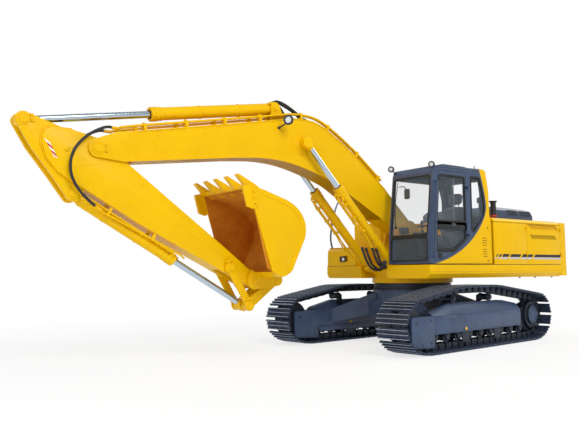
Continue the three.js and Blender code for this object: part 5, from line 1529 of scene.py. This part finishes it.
def makeRightDeckTrim():
    bm = newMesh()
    for x in (0.3, 0.56, 0.82):
        addPlate(bm, rounded(oblong(x - 0.09, -1.33, x + 0.06, -0.6), 0.03), "z", 1.744, 1.75, 0.002)
    addFrame(bm, rounded(oblong(0.23, -1.33, 0.835, -0.6), 0.04), 0.022, "z", 1.744, 1.756)
    addHollow(bm, (-0.25, -1.0, 2.24), zAxis, 0.105, 0.085, 0.03, 40)
    addDisc(bm, (-0.25, -1.0, 2.24), zAxis, 0.086, 0.048, 36, 0.008)
    for i in range(4):
        a = math.pi * i / 2
        addBox(bm, (0.04, -0.01, 0.046), (0.078, 0.01, 0.062), 0.003, turnAt((-0.25, -1.0, 2.24), a, "Z"))
    addDisc(bm, (-1.15, -1.0, 2.24), zAxis, 0.07, 0.03, 32, 0.006)
    for x in (-0.7, 0.1):
        for y in (-1.29, -0.7):
            addBolt(bm, (x, y, 2.24), zAxis, 0.024)
    finished(bm, "tank_caps", "upper_structure", yellowEnamel)
    bm = newMesh()
    addTurned(bm, [(0.0, 0), (0.0, 0.034), (0.003, 0.036), (0.007, 0.026), (0.009, 0)],
              (0.9205, -0.895, 1.527), xAxis, 30)
    finished(bm, "tool_box_lamp_lens", "upper_structure", lampGlass)
    bm = newMesh()
    addPlate(bm, rounded(oblong(-0.99, 1.484, -0.844, 1.575), 0.01, 3), "x", 0.918, 0.9212, 0.0005)
    addFrame(bm, rounded(oblong(-0.996, 1.478, -0.838, 1.581), 0.014, 3), 0.008, "x", 0.916, 0.9245)
    finished(bm, "tool_box_lamp_rim", "upper_structure", blackEnamel)


def makeRoofTrim():
    # anti-slip strips on the body's top, lifting eyes on the counterweight
    bm = newMesh()
    for y in (-1.12, 1.12):
        for i in range(6):
            x = -2.52 + i * 0.15
            addPlate(bm, rounded(oblong(x, y - 0.09, x + 0.1, y + 0.09), 0.02), "z", 2.239, 2.243, 0.001)
    finished(bm, "walkway_pads", "upper_structure", sealRubber, slotName="hose_rubber")
    bm = newMesh()
    for y in (-0.62, 0.62):
        addHollow(bm, (-2.9, y - 0.03, 2.245), yAxis, 0.085, 0.045, 0.06, 32)
        addBox(bm, (-2.98, y - 0.028, 2.205), (-2.82, y + 0.028, 2.232), 0.006)
    finished(bm, "lifting_eyes", "upper_structure", yellowEnamel)


def makeFootHoses():
    # four hoses from the boom cylinders' pipes down to the deck
    hoses, ends = newMesh(), newMesh()
    for k, (x, z) in enumerate(((1.6, 1.672), (1.52, 1.662), (1.36, 1.668), (1.285, 1.655))):
        y = 0.372 + 0.012 * (k % 2)
        end = Vector((1.09 + 0.022 * (k % 2), 0.385, 1.44 - 0.034 * (k // 2)))
        dip = 1.322 + 0.01 * k
        line = [(x, y, z), (x - 0.05, y, z - 0.12), (x - 0.12, y, z - 0.24), (x - 0.23, y, dip + 0.012),
                (1.17 + 0.02 * (k % 2), y, dip), end]
        addTube(hoses, smoothPath(line, 6), 0.0215, 14)
        addDisc(ends, (x + 0.012, y, z + 0.03), (-0.35, 0, -1), 0.027, 0.055, 6, 0.002)
        addDisc(ends, end + Vector((-0.02, 0, 0.03)), (0.6, 0, -0.7), 0.026, 0.05, 6, 0.002)
    finished(hoses, "boom_cylinder_hoses", "upper_structure", hoseRubber)
    finished(ends, "boom_cylinder_hose_ends", "upper_structure", blackEnamel)


# yellow darkened to stand for the shade in a pressed recess: painted shade
recessShadePaint = paintedSteel("yellow enamel darkened as painted shade in a pressed recess",
                         {**yellowFinish, "colour": "#D9A000", "shade": "#CC9200"})
usualSlots[recessShadePaint] = "yellow_paint"
# dark brown-yellow for the slots and the strips under the louvres: painted shade, with some dust mixed in
ventShadow = paintedSteel("yellow enamel painted dark as shade, dusty inside the slots",
                          {**yellowFinish, "colour": "#7A5206", "shade": "#664304", "dirt": 0.5})
usualSlots[ventShadow] = "yellow_paint"
makeDoors()
makeDecals()
makeSideTrim()
makeCabPanelTrim()
makeDeckTrim()
makeHoodTrim()
makeExhaust()
makeRightDeckTrim()
makeRoofTrim()
makeFootHoses()
print("body ready")

def onTrack(bm, name, middle, *words):
    placed(bm, chassis @ Matrix.Translation((0, middle, 0)), name, "undercarriage", *words)


def addBeam(bm):
    # the main beam: flat sides under a roof that falls away to both ends
    stations = [(-1.33, 0.69), (-0.85, 0.76), (0.85, 0.76), (1.4, 0.645)]
    rings = []
    for x, ridge in stations:
        section = [(-0.163, 0.335), (0.163, 0.335), (0.163, 0.57), (0.06, ridge),
                   (-0.06, ridge), (-0.163, 0.57)]
        rings.append([bm.verts.new((x, y, z)) for y, z in section])
    closedSkin(bm, rings)


def makeTrackFrame(side, outward):
    middle = outward * track["gauge"] / 2
    bm = newMesh()
    addBeam(bm)
    for s in (-1, 1):
        y = facing(s, 0.148, 0.166)
        plate = [(-1.31, 0.292), (1.41, 0.292), (1.41, 0.582), (-1.27, 0.582), (-1.33, 0.54), (-1.33, 0.34)]
        addPlate(bm, plate, "y", *y, 0.005)
        lip = facing(s, 0.155, 0.1735)
        addPlate(bm, oblong(-1.3, 0.292, 1.405, 0.304), "y", *lip, 0.003)
        addPlate(bm, oblong(-1.27, 0.57, 1.405, 0.583), "y", *lip, 0.003)
        relief = facing(s, 0.16, 0.1715)
        for low, high in ((0.74, 1.22), (-1.09, -0.62)):
            addPlate(bm, [(low, 0.572), (high, 0.572), (high - 0.04, 0.522), (low + 0.05, 0.53)],
                     "y", *relief, 0.003)
        cover = rounded([(1.405, 0.588), (1.398, 0.11), (1.45, 0.088), (1.93, 0.118), (1.984, 0.19),
                         (1.984, 0.588)], 0.055, 5)
        addPlate(bm, cover, "y", *facing(s, 0.128, 0.176), 0.008)
        addHollow(bm, (1.87, s * 0.174, 0.49), (0, s, 0), 0.034, 0.026, 0.004, 28)
        for x, z in ((1.48, 0.17), (1.48, 0.52), (1.7, 0.15)):
            addBolt(bm, (x, s * 0.176, z), (0, s, 0), 0.024)
    addBox(bm, (1.4, -0.13, 0.548), (1.9, 0.13, 0.58), 0.006)
    addPlate(bm, [(-1.3, 0.3), (-1.24, 0.2), (1.34, 0.2), (1.4, 0.3)], "y",
             *facing(-outward, 0.159, 0.167), 0.003)
    drive = barOutline((-track["axleSpan"] / 2, track["axleHeight"]), 0.215, (-1.39, 0.453), 0.12)
    y = facing(-outward, 0.118, 0.165)
    addPlate(bm, drive, "y", *y, 0.006)
    addBox(bm, (-1.53, y[0], 0.335), (-1.3, y[1], 0.572), 0.004)
    onTrack(bm, f"track_beam_{side}", middle, chassisEnamel, [f"track_frame_{side}"])


def makeRollers(side, outward):
    middle = outward * track["gauge"] / 2
    bm = newMesh()
    for k in range(9):
        x = 1.33 - k * 0.3325
        addTurned(bm,
                  [(-0.115, 0), (-0.115, 0.074), (-0.108, 0.088), (-0.094, 0.0895), (-0.09, 0.066),
                   (-0.03, 0.062), (0.03, 0.062), (0.09, 0.066), (0.094, 0.0895), (0.108, 0.088),
                   (0.115, 0.074), (0.115, 0)], (x, 0, 0.2283), yAxis, 28)
        for s in (-1, 1):
            addDisc(bm, (x, s * 0.112, 0.2283), (0, s, 0), 0.046, 0.042, 20, 0.006)
            # the roller collars take the rollers' dark steel instead of the frame's paint: painted shade
            # under the beam
            collar = rounded([(x - 0.075, 0.334), (x - 0.06, 0.205), (x + 0.06, 0.205), (x + 0.075, 0.334)],
                             0.03, 4)
            addPlate(bm, collar, "y", *facing(s, 0.112, 0.142), 0.005)
            for dx in (-0.052, 0.052):
                addBolt(bm, (x + dx, s * 0.142, 0.3), (0, s, 0), 0.022)
                addDisc(bm, (x + dx, s * 0.128, 0.25), zAxis, 0.012, 0.085, 8, 0.001)
    for x in (-0.5, 0.5):
        for s in (-1, 1):
            # the guards in the same dark steel instead of the frame's paint: painted shade under the beam
            guard = rounded([(x - 0.11, 0.33), (x - 0.095, 0.12), (x + 0.095, 0.12), (x + 0.11, 0.33)], 0.02,
                            3)
            addPlate(bm, guard, "y", *facing(s, 0.143, 0.157), 0.003)
            for dx in (-0.07, 0, 0.07):
                addBolt(bm, (x + dx, s * 0.157, 0.3), (0, s, 0), 0.026)
    for x in track["carriers"]:
        z = track["topRun"] - track["railDrop"] - track["carrier"] - 0.01
        addTurned(bm,
                  [(-0.104, 0), (-0.104, 0.052), (-0.098, 0.066), (-0.06, 0.0665), (-0.052, 0.056),
                   (0.052, 0.056), (0.06, 0.0665), (0.098, 0.066), (0.104, 0.052), (0.104, 0)],
                   (x, 0, z), yAxis, 28)
        addDisc(bm, (x, outward * 0.103, z), (0, outward, 0), 0.04, 0.026, 20, 0.005)
        y = facing(-outward, 0.1, 0.14)
        addPlate(bm,
                 rounded([(x - 0.055, z - 0.17), (x + 0.055, z - 0.17), (x + 0.045, z + 0.035),
                          (x - 0.045, z + 0.035)], 0.03, 4), "y", *y, 0.005)
        addBox(bm, (x - 0.075, -0.14, z - 0.215), (x + 0.075, 0.06, z - 0.12), 0.006)
    onTrack(bm, f"track_rollers_{side}", middle, linkSteel)


def makeFinalDrive(side, outward):
    middle = outward * track["gauge"] / 2
    bm = newMesh()
    hub = (-track["axleSpan"] / 2, 0, track["axleHeight"])
    profile = [(0.02, 0), (0.02, 0.182), (0.06, 0.183), (0.064, 0.176), (0.118, 0.172), (0.128, 0.164),
               (0.138, 0.15), (0.142, 0.12), (0.146, 0.06), (0.146, 0)]
    addTurned(bm, profile, hub, (0, outward, 0), 48)
    for k in range(14):
        a = 2 * math.pi * k / 14
        addBolt(bm, (hub[0] + 0.235 * math.cos(a), outward * 0.033, hub[2] + 0.235 * math.sin(a)),
                (0, outward, 0), 0.03)
    for k in range(10):
        a = 2 * math.pi * (k + 0.5) / 10
        addBolt(bm, (hub[0] + 0.135 * math.cos(a), outward * 0.141, hub[2] + 0.135 * math.sin(a)),
                (0, outward, 0), 0.018)
    onTrack(bm, f"final_drive_cover_{side}", middle, chassisEnamel)
    # black discs and slots in the idler cover's and the beam's holes: painted shade
    bm = newMesh()
    for s in (-1, 1):
        addDisc(bm, (1.87, s * 0.172, 0.49), (0, s, 0), 0.027, 0.0055, 20, 0.001)
        addPlate(bm, rounded(oblong(0.485, 0.44, 0.515, 0.51), 0.012, 4), "y", *facing(s, 0.165, 0.1685))
    onTrack(bm, f"frame_hole_shade_{side}", middle, blackEnamel)
    bm = newMesh()
    for s in (-1, 1):
        addDisc(bm, (0.5, s * 0.17, 0.338), (0, s, 0), 0.03, 0.006, 28, 0.002)
    onTrack(bm, f"lift_point_mark_{side}", middle, markOrange)


def makeGrouserTips(side, outward):
    # the three ribs of each shoe, rubbed bright along their tops
    t = track
    tip = t["seatRise"] + t["plate"] + t["grouser"]
    bm = newMesh()
    for share in t["ribs"]:
        c = share * t["pitch"]
        addPlate(bm,
                 [(c - 0.0052, tip - 0.003), (c + 0.0052, tip - 0.003), (c + 0.0045, tip), (c - 0.0045, tip)],
                 "y", -0.2985, 0.2985)
    makePiece(spread(bm, linkPlaces(outward * t["gauge"] / 2)), f"grouser_tips_{side}",
              "undercarriage", brightSteel)


def makeBearingTrim():
    bm = newMesh()
    for k in range(36):
        a = 2 * math.pi * k / 36
        addBolt(bm, (0.66 * math.cos(a), 0.66 * math.sin(a), 1.075), zAxis, 0.026)
    addTurned(bm,
              [(0.955, 0), (0.955, 0.72), (0.972, 0.728), (0.985, 0.712), (1.02, 0.708), (1.03, 0.715),
               (1.06, 0.715), (1.066, 0.706), (1.066, 0)], (0, 0, 0), zAxis, 72)
    finished(bm, "swing_bearing_bolts", "undercarriage", linkSteel, slotName="black_iron")
    bm = newMesh()
    for sign in (-1, 1):
        addTube(bm,
                roundedPath(mirrored([(-0.25, 0.28, 0.9), (-0.8, 0.33, 0.86), (-1.25, 0.62, 0.66),
                                      (-1.62, 0.98, 0.56)], sign), 0.12), 0.02, 12)
        addTube(bm,
                roundedPath(mirrored([(-0.22, 0.22, 0.9), (-0.8, 0.27, 0.85), (-1.28, 0.58, 0.62),
                                      (-1.62, 0.98, 0.51)], sign), 0.12), 0.02, 12)
    finished(bm, "drive_motor_hoses", "undercarriage", hoseRubber)


brightSteel = wornSteel("ground-polished steel", "#8D98AD", "#BCC5D3", 40)
usualSlots[brightSteel] = "undercarriage_paint"
for side, outward in (("left", 1), ("right", -1)):
    makeTrackFrame(side, outward)
    makeRollers(side, outward)
    makeFinalDrive(side, outward)
    makeGrouserTips(side, outward)
makeBearingTrim()
print("undercarriage ready")

easedNodes = (  # body, material, edge radius in metres, nodes
    ("undercarriage", chassisEnamel, 0.008, ["center_frame"]),
    ("undercarriage", linkSteel, 0.004, ["idler_left", "idler_right", "sprocket_left", "sprocket_right"]),
    ("upper_structure", yellowEnamel, 0.01, ["upper_frame"]),
    ("upper_structure", yellowEnamel, 0.045, ["counterweight"]),
    ("upper_structure", yellowEnamel, 0.012, ["top_cover", "tool_box"]),
    ("upper_structure", yellowEnamel, 0.004, ["bay_bulkhead", "door_post"]),
    ("upper_structure", yellowEnamel, 0.015, ["hydraulic_tank", "fuel_tank"]),
    ("upper_structure", yellowEnamel, 0.008, ["cab_rear_shell"]),
    ("upper_structure", blackEnamel, 0.01, ["engine_block"]),
    ("upper_structure", slateEnamel, 0.0, ["right_handrail"]),
    ("upper_structure", slateEnamel, 0.01, ["cab_frame"]),
    ("upper_structure", cabPlastic, 0.015, ["control_console"]),
    ("engine_hood", slateEnamel, 0.025, ["engine_hood"]),
    ("cab_door", slateEnamel, 0.008, ["cab_door"]),
    ("bucket", yellowEnamel, 0.004, ["bucket"]),
    ("bucket_link", yellowEnamel, 0.006, ["bucket_link"]))
softened("swing_bearing", "undercarriage", linkSteel, 0.004, "black_iron")
for body, material, width, names in easedNodes:
    for node in names:
        softened(node, body, material, width)
for node in ("door_glass", "door_lower_glass", "quarter_glass", "right_glass", "windscreen_upper",
             "windscreen_lower"):
    nodes[node].data.materials.clear()
    nodes[node].data.materials.append(cabGlass)
print("plain pieces ready")

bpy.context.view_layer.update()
triangles = sum(len(p.vertices) - 2 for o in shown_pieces() if o.type == "MESH" for p in o.data.polygons)
print("triangles before modifiers:", triangles)
